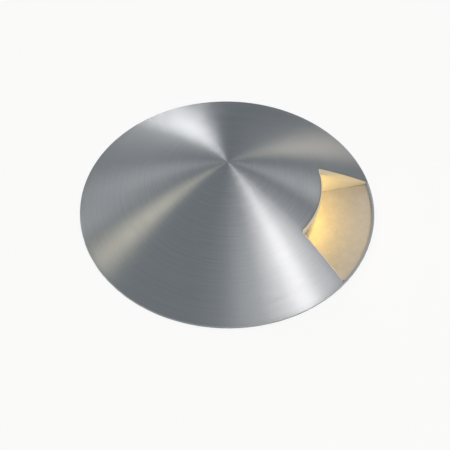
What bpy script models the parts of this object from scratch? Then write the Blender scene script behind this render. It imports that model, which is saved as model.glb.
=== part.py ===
"""In-ground marker light: a turned steel dome with one side window over a sealed LED
luminaire that hangs by its flange in an installation sleeve.

Lengths are in metres and +Z is up. Heights are worked out from the paving surface,
which is the top of the flange, and the whole light is raised by the depth of its
sleeve, so that the origin is at the bottom centre of the sleeve.
"""

import math

import bmesh
import bpy
from mathutils import Matrix

# Clearances
SEAT_GAP = 0.0003  # between pieces that rest on each other or fit in each other
RUNNING_GAP = 0.0015  # between the luminaire and the bore that it is lifted out of
CUT_OVERRUN = 0.002  # how far a cutter runs past what it cuts
JOIN_OVERLAP = 0.0006  # how far two shapes of one casting run into each other
WELD_DISTANCE = 0.00001

# Sides of round shapes
DOME_SIDES = 60
LARGE_SIDES = 40
RING_SIDES = 28
BOSS_SIDES = 16
SCREW_SIDES = 10
CORD_SIDES = 6

HOLE_TURN = math.radians(7)  # keeps a hole's corners off the corners of the round piece it is in
SOLVE_STEPS = 40  # halvings when a radius is looked for

# Socket-head screws, as shares of the shank's radius
SCREW_HEAD_SHARE = 1.8
SCREW_TOP_SHARE = 1.4
SCREW_SOCKET_SHARE = 0.9
SCREW_SOCKET_DEPTH_SHARE = 0.7

# Dome cover
COVER_RADIUS = 0.060
COVER_HEIGHT = 0.0285
COVER_WALL = 0.0022
COVER_CURVE_EXPONENT = 1.6
COVER_CURVE_STEPS = 9
LIP_HEIGHT = 0.0009
LIP_WIDTH = 0.0009
WINDOW_RING_SPACE = 0.0037  # from the turning ring out to the window
WINDOW_START = math.radians(-39.6)
WINDOW_END = math.radians(14.1)
WINDOW_FILLET = 0.0012
WINDOW_MIDDLE = (WINDOW_START + WINDOW_END) / 2

# Light hood and beam cone under the dome
HOOD_WALL = 0.0012
HOOD_REACH_SHARE = 0.925  # how much of the cover's radius the side cheeks reach
HOOD_ROOF_STEPS = 3
HOOD_CHEEK_STEPS = 4
HOOD_ACROSS_STEPS = 8
CONE_CLAMP_SPACE = 0.0018  # from the clamp ring's bore in to the cone's edge, seen from above
CONE_EDGE = 0.0008
CONE_TIP_HEIGHT = 0.0078
CONE_FLARE_EXPONENT = 1.3
CONE_STEPS = 7
CONE_BOSS_RADIUS = 0.005
CONE_DOME_SPACE = 0.0005
HOOD_CONE_SPACE = 0.003
CENTRE_STUD_RADIUS = 0.002
CENTRE_STUD_LENGTH = 0.008

# Studs that hold the cover
STUD_RADIUS = 0.0015
STUD_PAD_RADIUS = 0.0026
STUD_PAD_HEIGHT = 0.001
STUD_FOOT_SPACE = 0.0006
STUD_STEP = math.radians(90)
STUD_ANGLES = [WINDOW_MIDDLE + math.pi + turn * STUD_STEP for turn in (-1, 0, 1)]
GRIP_WALL = 0.0006
GRIP_COLLAR_WIDTH = 0.0009
GRIP_COLLAR_HEIGHT = 0.001

# Front glass and what clamps it
GLASS_LAND = 0.0117  # from the hub's side in to the glass seat
GLASS_THICKNESS = 0.004
GLASS_CHAMFER = 0.0005
GLASS_SEAT_WIDTH = 0.003
GASKET_THICKNESS = 0.0011
CLAMP_OVERLAP = 0.0032
CLAMP_LAND = 0.0045
CLAMP_LIP_WIDTH = 0.0016
CLAMP_LIP_HEIGHT = 0.001
CLAMP_CHAMFER = 0.0018
CLAMP_SCREW_COUNT = 4
CLAMP_SCREW_FIRST = math.radians(32)
CLAMP_SCREW_RADIUS = 0.001
CLAMP_SCREW_GRIP = 0.0034
RING_WIDTH = 0.005
RING_THICKNESS = 0.002
GLIDE_THICKNESS = 0.0005
EAR_LENGTH = 0.006
EAR_HALF_ANGLE = math.radians(6.5)
EAR_STEPS = 3
STUD_SETBACK = 0.0022  # from the ring's outer edge out to the studs

# Flange
FLANGE_INSET = 0.0008
FLANGE_EDGE_THICKNESS = 0.002
FLANGE_BODY_THICKNESS = 0.005
HUB_DEPTH = 0.009
FLANGE_SCREW_COUNT = 3
FLANGE_SCREW_FIRST = math.radians(60)
FLANGE_SCREW_RADIUS = 0.0015
FLANGE_SCREW_BITE = 0.003

# Housing
HOUSING_LIP_WIDTH = 0.011
HOUSING_LIP_THICKNESS = 0.003
HOUSING_WALL = 0.0027
HOUSING_GASKET_THICKNESS = 0.001
HOUSING_GASKET_INSET = 0.0012
SHELF_THICKNESS = 0.003
DRIVER_ROOM = 0.030
FIN_COUNT = 16
FIN_HEIGHT = 0.004
FIN_THICKNESS = 0.002
FIN_TOP_SPACE = 0.002
BASE_RIM_HEIGHT = 0.008
BASE_RIM_WIDTH = 0.004

# LED and lens
LENS_HEADROOM = 0.001
LENS_HEIGHT = 0.009
LENS_EDGE_SPACE = 0.002
LENS_FOOT_RADIUS = 0.008
LENS_CUP_RADIUS = 0.004
LENS_CUP_DEPTH = 0.004
LENS_RIM = 0.0012
HOLDER_HEIGHT = 0.004
HOLDER_RADIUS = 0.0105
HOLDER_BORE_RADIUS = 0.0065
CHIP_RADIUS = 0.0058
CHIP_THICKNESS = 0.0012
BOARD_RADIUS = 0.0165
BOARD_THICKNESS = 0.0016
PAD_THICKNESS = 0.0005
BOARD_SCREW_RADIUS = 0.001
BOARD_SCREW_BITE = 0.002
BOARD_SCREW_ANGLES = (0, math.pi)
WIRE_RADIUS = 0.0006
WIRE_ANGLES = (math.radians(68), math.radians(112))
WIRE_HOLE_RADIUS = 0.002
WIRE_RISE = 0.002
WIRE_POINTS = 9

# Driver
TRAY_EDGE_SPACE = 0.0012  # from the spigot's bore in to the tray's edge
TRAY_WALL = 0.003
TRAY_HEIGHT = 0.006
DRIVER_CORNER_ANGLE = math.radians(35.75)  # of the driver board's corners, from its length
DRIVER_BOARD_THICKNESS = 0.0016
TRANSFORMER_WIDTH = 0.014
TRANSFORMER_HEIGHT = 0.012
CAPACITOR_HEIGHT = 0.014
TERMINAL_LENGTH = 0.009
TERMINAL_WIDTH = 0.020
TERMINAL_HEIGHT = 0.010
TERMINAL_WAY_RADIUS = 0.0014
TERMINAL_WAY_DEPTH = 0.005
TERMINAL_WAYS = 3
PART_SPACE = 0.003  # between neighbouring pieces on the driver board

# Base plate
BASE_THICKNESS = 0.0035
SPIGOT_HEIGHT = 0.005
SPIGOT_WALL = 0.004
RING_GROOVE_DEPTH = 0.002
RING_CORD_RADIUS = 0.0009
BASE_SCREW_COUNT = 3
BASE_SCREW_FIRST = math.radians(30)
BASE_SCREW_RADIUS = 0.00125
BASE_SCREW_BITE = 0.005
BREATHER_PLACE_SHARE = 0.62  # how far out of the base plate's radius the vent is
BREATHER_ANGLE = math.radians(135)
BREATHER_RADIUS = 0.0028
BREATHER_HEAD_RADIUS = 0.0045
BREATHER_HEAD_HEIGHT = 0.003

# Cable gland
GLAND_THREAD_RADIUS = 0.008
GLAND_BORE_RADIUS = 0.0044
GLAND_HEX = 0.020  # across the flats
GLAND_COLLAR_HEIGHT = 0.005
GLAND_TAIL_RADIUS = 0.0075
GLAND_TAIL_LENGTH = 0.0055
LOCKNUT_HEIGHT = 0.004
LOCKNUT_HEX = 0.022
THREAD_STANDOUT = 0.0005
SEAL_BORE_RADIUS = 0.0038
SEAL_HEIGHT = 0.004
NUT_WALL = 0.0028
NUT_LIP = 0.0017
NUT_TAPER = 0.003

# Spring clips
CLIP_ANGLES = (0, math.pi)
CLIP_PLATE = 0.001
CLIP_EAR_GAP = 0.008
CLIP_BRACKET_HEIGHT = 0.0064
CLIP_PIN_RADIUS = 0.001
CLIP_PIN_HEAD = 0.0006
CLIP_BARREL_RADIUS = 0.0022
CLIP_BARREL_WIDTH = 0.0044
CLIP_ARM_LENGTH = 0.024
CLIP_ARM_THICKNESS = 0.0012
CLIP_NOSE_RADIUS = 0.0013
CLIP_SHOULDER = 0.0045
CLIP_SPRING_WIRE = 0.00025
CLIP_SPRING_TURNS = 2
CLIP_SPRING_LEG = 0.009
CLIP_SPRING_STEPS = 10

# Installation sleeve
SLEEVE_WALL = 0.0025
SLEEVE_FLOOR = 0.003
COLLAR_INSET = 0.0017
COLLAR_OVERHANG = 0.0035
COLLAR_HEIGHT = 0.003
CABLE_ROOM = 0.015
ANCHOR_RIB_COUNT = 2
ANCHOR_RIB_HEIGHT = 0.003
ANCHOR_RIB_WIDTH = 0.002
DRAIN_COUNT = 4
DRAIN_RADIUS = 0.0035
DRAIN_PLACE_SHARE = 0.7
ENTRY_RADIUS = 0.008
ENTRY_ANGLE = math.radians(90)
GROMMET_FLANGE_WIDTH = 0.0015
GROMMET_FLANGE_THICKNESS = 0.002
GROMMET_BORE_RADIUS = 0.0045
GROMMET_EASE = 0.0006

# Radii that follow from the sizes above, from the outside in
FLANGE_RADIUS = COVER_RADIUS - FLANGE_INSET
COLLAR_RADIUS = FLANGE_RADIUS - COLLAR_INSET
SLEEVE_RADIUS = COLLAR_RADIUS - COLLAR_OVERHANG
SLEEVE_BORE = SLEEVE_RADIUS - SLEEVE_WALL
LIP_RADIUS = SLEEVE_BORE - RUNNING_GAP
HOUSING_RADIUS = LIP_RADIUS - HOUSING_LIP_WIDTH
HOUSING_BORE = HOUSING_RADIUS - HOUSING_WALL
HUB_RADIUS = HOUSING_BORE - SEAT_GAP
BASE_RADIUS = HOUSING_RADIUS + BASE_RIM_WIDTH
FLANGE_SCREW_CIRCLE = (HOUSING_RADIUS + FIN_HEIGHT + LIP_RADIUS) / 2
BASE_SCREW_CIRCLE = (HOUSING_BORE + BASE_RADIUS) / 2
SPIGOT_RADIUS = HOUSING_BORE - SEAT_GAP
SPIGOT_BORE = SPIGOT_RADIUS - SPIGOT_WALL

# The driver board lies with its corners on the round tray, and its pieces share its length
TRAY_RADIUS = SPIGOT_BORE - TRAY_EDGE_SPACE
DRIVER_BOARD_LENGTH = 2 * TRAY_RADIUS * math.cos(DRIVER_CORNER_ANGLE)
DRIVER_BOARD_WIDTH = 2 * TRAY_RADIUS * math.sin(DRIVER_CORNER_ANGLE)
DRIVER_HALF_ROOM = DRIVER_BOARD_LENGTH / 2 - PART_SPACE
TRANSFORMER_LENGTH = DRIVER_HALF_ROOM - 2 * PART_SPACE
CAPACITOR_RADIUS = (DRIVER_HALF_ROOM - TERMINAL_LENGTH - PART_SPACE) / 2

# Radii from the glass out to the turning ring and the window
GLASS_SEAT_RADIUS = HUB_RADIUS - GLASS_LAND
GLASS_RADIUS = GLASS_SEAT_RADIUS - SEAT_GAP
APERTURE_RADIUS = GLASS_RADIUS - GLASS_SEAT_WIDTH
LENS_TOP_RADIUS = APERTURE_RADIUS - LENS_EDGE_SPACE
CLAMP_RADIUS = GLASS_RADIUS + CLAMP_LAND
CLAMP_BORE = GLASS_RADIUS - CLAMP_OVERLAP
CLAMP_SCREW_CIRCLE = (GLASS_SEAT_RADIUS + CLAMP_RADIUS) / 2
CONE_RADIUS = CLAMP_BORE - CONE_CLAMP_SPACE
RING_BORE = CLAMP_RADIUS + SEAT_GAP
RING_RADIUS = RING_BORE + RING_WIDTH
STUD_CIRCLE = RING_RADIUS + STUD_SETBACK
WINDOW_RADIUS = RING_RADIUS + WINDOW_RING_SPACE
GRIP_BORE = STUD_RADIUS + SEAT_GAP
GRIP_RADIUS = GRIP_BORE + GRIP_WALL
EAR_HOLE_RADIUS = GRIP_RADIUS + SEAT_GAP

# Heights above the paving, upwards
GLIDE_BOTTOM = SEAT_GAP
RING_BOTTOM = GLIDE_BOTTOM + GLIDE_THICKNESS + SEAT_GAP
RING_TOP = RING_BOTTOM + RING_THICKNESS
CLAMP_LIP_BOTTOM = RING_TOP + SEAT_GAP
CLAMP_TOP = CLAMP_LIP_BOTTOM + CLAMP_LIP_HEIGHT
COVER_BOTTOM = SEAT_GAP

# Heights below the paving, downwards
GLASS_BOTTOM = -GLASS_THICKNESS
GASKET_BOTTOM = GLASS_BOTTOM - SEAT_GAP - GASKET_THICKNESS
GLASS_SEAT = GASKET_BOTTOM - SEAT_GAP
LENS_TOP = GLASS_BOTTOM - LENS_HEADROOM
LENS_BOTTOM = LENS_TOP - LENS_HEIGHT
HOLDER_TOP = LENS_BOTTOM - SEAT_GAP
HOLDER_BOTTOM = HOLDER_TOP - HOLDER_HEIGHT
BOARD_TOP = HOLDER_BOTTOM - SEAT_GAP
BOARD_BOTTOM = BOARD_TOP - BOARD_THICKNESS
PAD_BOTTOM = BOARD_BOTTOM - SEAT_GAP - PAD_THICKNESS
SHELF_TOP = PAD_BOTTOM - SEAT_GAP
SHELF_BOTTOM = SHELF_TOP - SHELF_THICKNESS
HOUSING_GASKET_BOTTOM = -FLANGE_BODY_THICKNESS - SEAT_GAP - HOUSING_GASKET_THICKNESS
HOUSING_TOP = HOUSING_GASKET_BOTTOM - SEAT_GAP
HOUSING_LIP_BOTTOM = HOUSING_TOP - HOUSING_LIP_THICKNESS
HOUSING_BOTTOM = SHELF_BOTTOM - DRIVER_ROOM
BASE_RIM_TOP = HOUSING_BOTTOM + BASE_RIM_HEIGHT
BASE_TOP = HOUSING_BOTTOM - SEAT_GAP
BASE_BOTTOM = BASE_TOP - BASE_THICKNESS
LOCKNUT_TOP = BASE_TOP + SEAT_GAP + LOCKNUT_HEIGHT
TRAY_BOTTOM = BASE_TOP + SEAT_GAP
DRIVER_BOARD_BOTTOM = TRAY_BOTTOM + TRAY_HEIGHT + SEAT_GAP
DRIVER_BOARD_TOP = DRIVER_BOARD_BOTTOM + DRIVER_BOARD_THICKNESS
GLAND_COLLAR_TOP = BASE_BOTTOM - SEAT_GAP
GLAND_COLLAR_BOTTOM = GLAND_COLLAR_TOP - GLAND_COLLAR_HEIGHT
GLAND_TAIL_BOTTOM = GLAND_COLLAR_BOTTOM - GLAND_TAIL_LENGTH
SEAL_TOP = GLAND_TAIL_BOTTOM - SEAT_GAP
SEAL_BOTTOM = SEAL_TOP - SEAL_HEIGHT
NUT_TOP = GLAND_COLLAR_BOTTOM - SEAT_GAP
NUT_BOTTOM = SEAL_BOTTOM - SEAT_GAP - NUT_LIP
SLEEVE_TOP = -FLANGE_EDGE_THICKNESS - SEAT_GAP
SLEEVE_FLOOR_TOP = NUT_BOTTOM - CABLE_ROOM
SLEEVE_BOTTOM = SLEEVE_FLOOR_TOP - SLEEVE_FLOOR

# The clips' pivot, on the side of the base rim
CLIP_PIVOT_RADIUS = BASE_RADIUS + CLIP_PLATE + CLIP_BARREL_RADIUS + 2 * SEAT_GAP
CLIP_PIVOT_HEIGHT = BASE_RIM_TOP - BASE_RIM_HEIGHT / 2
CLIP_REACH = SLEEVE_BORE - SEAT_GAP - CLIP_NOSE_RADIUS - CLIP_PIVOT_RADIUS
CLIP_LEAN = math.asin(CLIP_REACH / CLIP_ARM_LENGTH)

# The grommet just clears the sleeve's floor
GROMMET_NECK = ENTRY_RADIUS - SEAT_GAP
GROMMET_RIM = GROMMET_NECK + GROMMET_FLANGE_WIDTH
ENTRY_HEIGHT = SLEEVE_FLOOR_TOP + SEAT_GAP + GROMMET_RIM


def collection(name):
    """Returns a new collection of that name in the scene."""
    made = bpy.data.collections.new(name)
    bpy.context.scene.collection.children.link(made)
    return made


def empty(name, parent=None, location=(0, 0, 0), turn=0):
    """Returns an empty that carries the pieces of one moving body."""
    made = bpy.data.objects.new(name, None)
    parts.objects.link(made)
    made.parent = parent
    made.location = location
    made.rotation_euler = (0, 0, turn)
    return made


def material(name, colour, roughness, metallic=0):
    """Returns a Principled material."""
    made = bpy.data.materials.new(name)
    made.use_nodes = True
    shader = made.node_tree.nodes["Principled BSDF"]
    shader.inputs["Base Color"].default_value = (*colour, 1)
    shader.inputs["Roughness"].default_value = roughness
    shader.inputs["Metallic"].default_value = metallic
    made.diffuse_color = (*colour, 1)
    return made


STEEL = ((0.55, 0.57, 0.59), 0.32, 1)
BLASTED = ((0.62, 0.60, 0.56), 0.55, 1)
CAST = ((0.42, 0.43, 0.45), 0.5, 1)
POLISHED = ((0.82, 0.82, 0.80), 0.12, 1)
ZINC = ((0.60, 0.60, 0.56), 0.35, 1)
BRASS = ((0.72, 0.66, 0.50), 0.3, 1)
CREAM = ((0.86, 0.80, 0.66), 0.5)
GLASS = ((0.80, 0.86, 0.84), 0.08)
LENS = ((0.86, 0.88, 0.90), 0.1)
SILICONE = ((0.62, 0.20, 0.14), 0.6)
RUBBER = ((0.04, 0.04, 0.045), 0.7)
BLACK_PLASTIC = ((0.05, 0.05, 0.055), 0.45)
GREY_PLASTIC = ((0.20, 0.21, 0.22), 0.5)
WHITE_PLASTIC = ((0.85, 0.85, 0.83), 0.4)
LED_BOARD = ((0.88, 0.88, 0.86), 0.45)
PHOSPHOR = ((0.95, 0.78, 0.25), 0.5)
GREEN_BOARD = ((0.05, 0.28, 0.12), 0.4)
PAD_GREY = ((0.45, 0.47, 0.50), 0.8)
RED = ((0.60, 0.04, 0.03), 0.4)


def add(name, mesh, finish, parent, location=(0, 0, 0), rotation=(0, 0, 0)):
    """Links a mesh into the scene as a piece of the light, with its own material."""
    made = bpy.data.objects.new(name, mesh)
    parts.objects.link(made)
    made.parent = parent
    made.location = location
    made.rotation_euler = rotation
    if finish is not None:
        mesh.materials.append(material(name, *finish))
    return made


def as_cutter(thing):
    """Moves an object to the cutters, where it is neither rendered nor built."""
    parts.objects.unlink(thing)
    cutters.objects.link(thing)
    thing.hide_render = True
    thing.display_type = "WIRE"
    return thing


def boolean(target, tool, operation="DIFFERENCE"):
    """Cuts, joins or trims the target with a tool, which becomes a cutter."""
    as_cutter(tool)
    change = target.modifiers.new(tool.name, "BOOLEAN")
    change.operation = operation
    change.object = tool
    return target


def shade(thing, smooth_below=math.radians(35)):
    """Shades round faces smooth and keeps the hard edges."""
    thing.data.shade_smooth()
    thing.data.set_sharp_from_angle(angle=smooth_below)
    return thing


def turned(name, profile, sides, finish, parent, closed=False, **place):
    """A turned piece. The profile is (radius, height) pairs, down the outer side; a
    closed profile is a ring's section, and an open one starts and ends on the axis."""
    mesh = bpy.data.meshes.new(name)
    edges = [(i, i + 1) for i in range(len(profile) - 1)]
    if closed:
        edges.append((len(profile) - 1, 0))
    mesh.from_pydata([(radius, 0, height) for radius, height in profile], edges, [])
    made = add(name, mesh, finish, parent, **place)
    screw = made.modifiers.new("turn", "SCREW")
    screw.axis = "Z"
    screw.steps = sides
    screw.render_steps = sides
    screw.use_merge_vertices = True
    screw.merge_threshold = WELD_DISTANCE
    screw.use_smooth_shade = True
    return made


def plate(name, outlines, low, high, finish, parent, **place):
    """A flat piece between two heights. The first outline is its edge and the others
    are holes in it."""
    curve = bpy.data.curves.new(name, "CURVE")
    curve.dimensions = "2D"
    curve.fill_mode = "BOTH"
    curve.extrude = (high - low) / 2
    for outline in outlines:
        spline = curve.splines.new("POLY")
        spline.points.add(len(outline) - 1)
        for point, (x, y) in zip(spline.points, outline):
            point.co = (x, y, 0, 1)
        spline.use_cyclic_u = True
    shape = bpy.data.objects.new(name, curve)
    parts.objects.link(shape)
    bpy.context.view_layer.update()
    seen = shape.evaluated_get(bpy.context.evaluated_depsgraph_get())
    mesh = bpy.data.meshes.new_from_object(seen)
    bpy.data.objects.remove(shape)
    mesh.transform(Matrix.Translation((0, 0, (low + high) / 2)))
    work = bmesh.new()
    work.from_mesh(mesh)
    bmesh.ops.remove_doubles(work, verts=work.verts, dist=WELD_DISTANCE)
    bmesh.ops.recalc_face_normals(work, faces=work.faces)
    work.to_mesh(mesh)
    work.free()
    mesh.name = name
    return shade(add(name, mesh, finish, parent, **place))


def block(name, length, width, low, high, finish, parent, **place):
    """A box between two heights, centred on its own origin."""
    mesh = bpy.data.meshes.new(name)
    work = bmesh.new()
    bmesh.ops.create_cube(work, size=1)
    size = Matrix.Diagonal((length, width, high - low, 1))
    bmesh.ops.transform(work, verts=work.verts, matrix=Matrix.Translation((0, 0, (low + high) / 2)) @ size)
    work.to_mesh(mesh)
    work.free()
    return add(name, mesh, finish, parent, **place)


def rod(name, radius, low, high, sides, finish, parent, **place):
    """A plain cylinder between two heights."""
    mesh = bpy.data.meshes.new(name)
    work = bmesh.new()
    middle = Matrix.Translation((0, 0, (low + high) / 2))
    bmesh.ops.create_cone(
        work,
        cap_ends=True,
        segments=sides,
        radius1=radius,
        radius2=radius,
        depth=high - low,
        matrix=middle,
    )
    work.to_mesh(mesh)
    work.free()
    return shade(add(name, mesh, finish, parent, **place))


def tube(name, points, radius, finish, parent):
    """A wire of round section along the points."""
    curve = bpy.data.curves.new(name, "CURVE")
    curve.dimensions = "3D"
    curve.bevel_depth = radius
    curve.bevel_resolution = 1
    curve.use_fill_caps = True
    spline = curve.splines.new("POLY")
    spline.points.add(len(points) - 1)
    for point, place in zip(spline.points, points):
        point.co = (*place, 1)
    curve.materials.append(material(name, *finish))
    made = bpy.data.objects.new(name, curve)
    parts.objects.link(made)
    made.parent = parent
    return made


def polar(radius, angle):
    """The (x, y) of a point at that radius and angle."""
    return (radius * math.cos(angle), radius * math.sin(angle))


def circle(radius, sides, centre=(0, 0)):
    """A round outline."""
    spots = [polar(radius, 2 * math.pi * i / sides) for i in range(sides)]
    return [(centre[0] + x, centre[1] + y) for x, y in spots]


def arc_angles(start, end, steps):
    """Angles from start to end, both included."""
    return [start + (end - start) * i / steps for i in range(steps + 1)]


def arc(radius, start, end, steps, centre=(0, 0)):
    """Points along an arc, both ends included."""
    spots = [polar(radius, angle) for angle in arc_angles(start, end, steps)]
    return [(centre[0] + x, centre[1] + y) for x, y in spots]


def sector(inner, outer, start, end, fillet, steps=12, corner_steps=4):
    """A sector of a ring whose two inner corners are rounded."""
    middle = inner + fillet
    turn = math.asin(fillet / middle)
    quarter, half = math.pi / 2, math.pi
    last = arc(fillet, end + quarter, end + half - turn, corner_steps, polar(middle, end - turn))
    first = arc(fillet, start + half + turn, start + half + quarter, corner_steps, polar(middle, start + turn))
    inside = arc(inner, end - turn, start + turn, steps)[1:-1]
    return arc(outer, start, end, steps) + last + inside + first


def dome_top(radius):
    """Height of the dome's outer face."""
    rise = COVER_HEIGHT - LIP_HEIGHT
    return COVER_BOTTOM + LIP_HEIGHT + rise * (1 - (radius / COVER_RADIUS) ** COVER_CURVE_EXPONENT)


def dome_slope(radius):
    """How steeply the dome falls there, as a height over a length."""
    share = radius / COVER_RADIUS
    steepest = COVER_CURVE_EXPONENT * (COVER_HEIGHT - LIP_HEIGHT) / COVER_RADIUS
    return steepest * share ** (COVER_CURVE_EXPONENT - 1)


def dome_under(radius, wall=COVER_WALL):
    """Height of the dome's inner face, or of a face that deep under its outer one."""
    return dome_top(radius) - wall * math.hypot(1, dome_slope(radius))


def radius_at(height, wall=COVER_WALL):
    """Radius where the dome's inner face comes down to that height."""
    low, high = 0, COVER_RADIUS
    for _ in range(SOLVE_STEPS):
        middle = (low + high) / 2
        if dome_under(middle, wall) > height:
            low = middle
        else:
            high = middle
    return low


def screw(name, radius, grip, finish, parent, **place):
    """A socket-head screw: its head is above the origin and its shank below."""
    head, top = SCREW_HEAD_SHARE * radius, SCREW_TOP_SHARE * radius
    socket, depth = SCREW_SOCKET_SHARE * radius, SCREW_SOCKET_DEPTH_SHARE * radius
    profile = [
        (0, top - depth),
        (socket, top - depth),
        (socket, top),
        (head, top),
        (head, 0),
        (radius, 0),
        (radius, -grip),
        (0, -grip),
    ]
    return turned(name, profile, SCREW_SIDES, finish, parent, **place)


def holes(target, radius, circle_radius, angles, low, high):
    """Drills the same upright hole through a piece at several angles."""
    for number, angle in enumerate(angles):
        spot = (*polar(circle_radius, angle), 0)
        name = f"{target.name}_hole_{number}"
        place = {"location": spot, "rotation": (0, 0, HOLE_TURN)}
        boolean(target, rod(name, radius, low, high, SCREW_SIDES, None, target.parent, **place))
    return target


def around(count, first):
    """Evenly spaced angles."""
    return [first + 2 * math.pi * i / count for i in range(count)]


def hexed(target, across, low, high):
    """Trims a turned piece to a hexagon between two heights."""
    corner = across / math.sqrt(3)
    prism = rod(target.name + "_hex", corner, low, high, 6, None, target.parent)
    return boolean(target, prism, "INTERSECT")


def dome_cover(cover):
    """The turned steel dome. The window is cut out of it down to the thin lip."""
    radii = [COVER_RADIUS * i / COVER_CURVE_STEPS for i in range(COVER_CURVE_STEPS + 1)]
    foot = radius_at(COVER_BOTTOM)
    inner = [foot * i / COVER_CURVE_STEPS for i in range(COVER_CURVE_STEPS + 1)]
    profile = [(radius, dome_top(radius)) for radius in radii]
    profile.append((COVER_RADIUS, COVER_BOTTOM))
    profile += [(radius, dome_under(radius)) for radius in reversed(inner)]
    made = turned("dome_cover", profile, DOME_SIDES, STEEL, cover)
    high = COVER_HEIGHT + CUT_OVERRUN
    inside = sector(WINDOW_RADIUS, COVER_RADIUS - LIP_WIDTH, WINDOW_START, WINDOW_END, WINDOW_FILLET)
    outside = sector(WINDOW_RADIUS, COVER_RADIUS + CUT_OVERRUN, WINDOW_START, WINDOW_END, WINDOW_FILLET)
    lip_top = COVER_BOTTOM + LIP_HEIGHT
    boolean(made, plate("window_cut", [outside], lip_top, high, None, cover))
    boolean(made, plate("window_floor_cut", [inside], -CUT_OVERRUN, high, None, cover))
    return made


def light_hood(cover):
    """The channel from the cone to the window: a roof under the dome and a cheek on
    each side, all of one wall."""
    clear_of_ring = RING_RADIUS + 2 * SEAT_GAP
    over_ring = CLAMP_TOP + SEAT_GAP + SCREW_TOP_SHARE * CLAMP_SCREW_RADIUS + SEAT_GAP
    inner = CONE_RADIUS + HOOD_CONE_SPACE
    roof_end = WINDOW_RADIUS - SEAT_GAP
    outer = COVER_RADIUS * HOOD_REACH_SHARE
    roof_radii = [inner + (clear_of_ring - inner) * i / HOOD_ROOF_STEPS for i in range(HOOD_ROOF_STEPS + 1)]
    roof_radii += [clear_of_ring + SEAT_GAP, roof_end]
    cheek = outer - roof_end
    cheek_radii = [roof_end + cheek * i / HOOD_CHEEK_STEPS for i in range(1, HOOD_CHEEK_STEPS + 1)]
    angles = arc_angles(WINDOW_START, WINDOW_END, HOOD_ACROSS_STEPS)
    mesh = bpy.data.meshes.new("light_hood")
    work = bmesh.new()
    rows = []
    for radius in roof_radii + cheek_radii:
        floor = over_ring if radius <= clear_of_ring else COVER_BOTTOM
        wall = COVER_WALL + SEAT_GAP
        if radius <= roof_end:
            wall += HOOD_WALL + SEAT_GAP
        top = max(dome_under(radius, wall), floor + SEAT_GAP)
        across = angles if radius <= roof_end else (angles[0], angles[-1])
        row = [work.verts.new((*polar(radius, angle), top)) for angle in across]
        row.insert(0, work.verts.new((*polar(radius, angles[0]), floor)))
        row.append(work.verts.new((*polar(radius, angles[-1]), floor)))
        rows.append(row)
    for near, far in zip(rows, rows[1:]):
        pairs = [(i, i + 1, i, i + 1) for i in range(len(near) - 1)]
        if len(far) < len(near):
            pairs = [(0, 1, 0, 1), (len(near) - 2, len(near) - 1, 2, 3)]
        elif len(near) == 4:
            pairs = [(0, 1, 0, 1), (2, 3, 2, 3)]
        for a, b, c, d in pairs:
            work.faces.new((near[a], near[b], far[d], far[c]))
    bmesh.ops.recalc_face_normals(work, faces=work.faces)
    work.to_mesh(mesh)
    work.free()
    made = add("light_hood", mesh, CREAM, cover)
    shell = made.modifiers.new("wall", "SOLIDIFY")
    shell.thickness = HOOD_WALL
    shell.offset = 1
    shell.use_even_offset = True
    return made


def beam_cone(cover):
    """The polished cone, which screws up onto the dome's centre stud."""
    top = dome_under(CONE_RADIUS) - CONE_DOME_SPACE
    boss_top = dome_under(CONE_BOSS_RADIUS) - SEAT_GAP
    stud_top = dome_under(CENTRE_STUD_RADIUS) - SEAT_GAP
    stud_bottom = stud_top - CENTRE_STUD_LENGTH
    bore = CENTRE_STUD_RADIUS + SEAT_GAP
    edge = top - CONE_EDGE
    flank = []
    for i in range(CONE_STEPS, -1, -1):
        share = i / CONE_STEPS
        height = CONE_TIP_HEIGHT + (edge - CONE_TIP_HEIGHT) * share
        flank.append((CONE_RADIUS * share**CONE_FLARE_EXPONENT, height))
    profile = [
        (0, stud_bottom - SEAT_GAP),
        (bore, stud_bottom - SEAT_GAP),
        (bore, boss_top),
        (CONE_BOSS_RADIUS, boss_top),
        (CONE_BOSS_RADIUS, top),
        (CONE_RADIUS, top),
        *flank,
    ]
    turned("beam_cone", profile, RING_SIDES, POLISHED, cover)
    rod("centre_stud", CENTRE_STUD_RADIUS, stud_bottom, stud_top, SCREW_SIDES, ZINC, cover)


def cover_studs(cover):
    """Three studs welded under the dome, which snap into the turning ring."""
    top = dome_under(STUD_CIRCLE + STUD_PAD_RADIUS) - SEAT_GAP
    profile = [
        (0, top),
        (STUD_PAD_RADIUS, top),
        (STUD_PAD_RADIUS, top - STUD_PAD_HEIGHT),
        (STUD_RADIUS, top - STUD_PAD_HEIGHT),
        (STUD_RADIUS, STUD_FOOT_SPACE + STUD_RADIUS / 2),
        (STUD_RADIUS / 2, STUD_FOOT_SPACE),
        (0, STUD_FOOT_SPACE),
    ]
    for number, angle in enumerate(STUD_ANGLES, 1):
        spot = (*polar(STUD_CIRCLE, angle), 0)
        turned(f"cover_stud_{number}", profile, SCREW_SIDES, ZINC, cover, location=spot)


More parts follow.
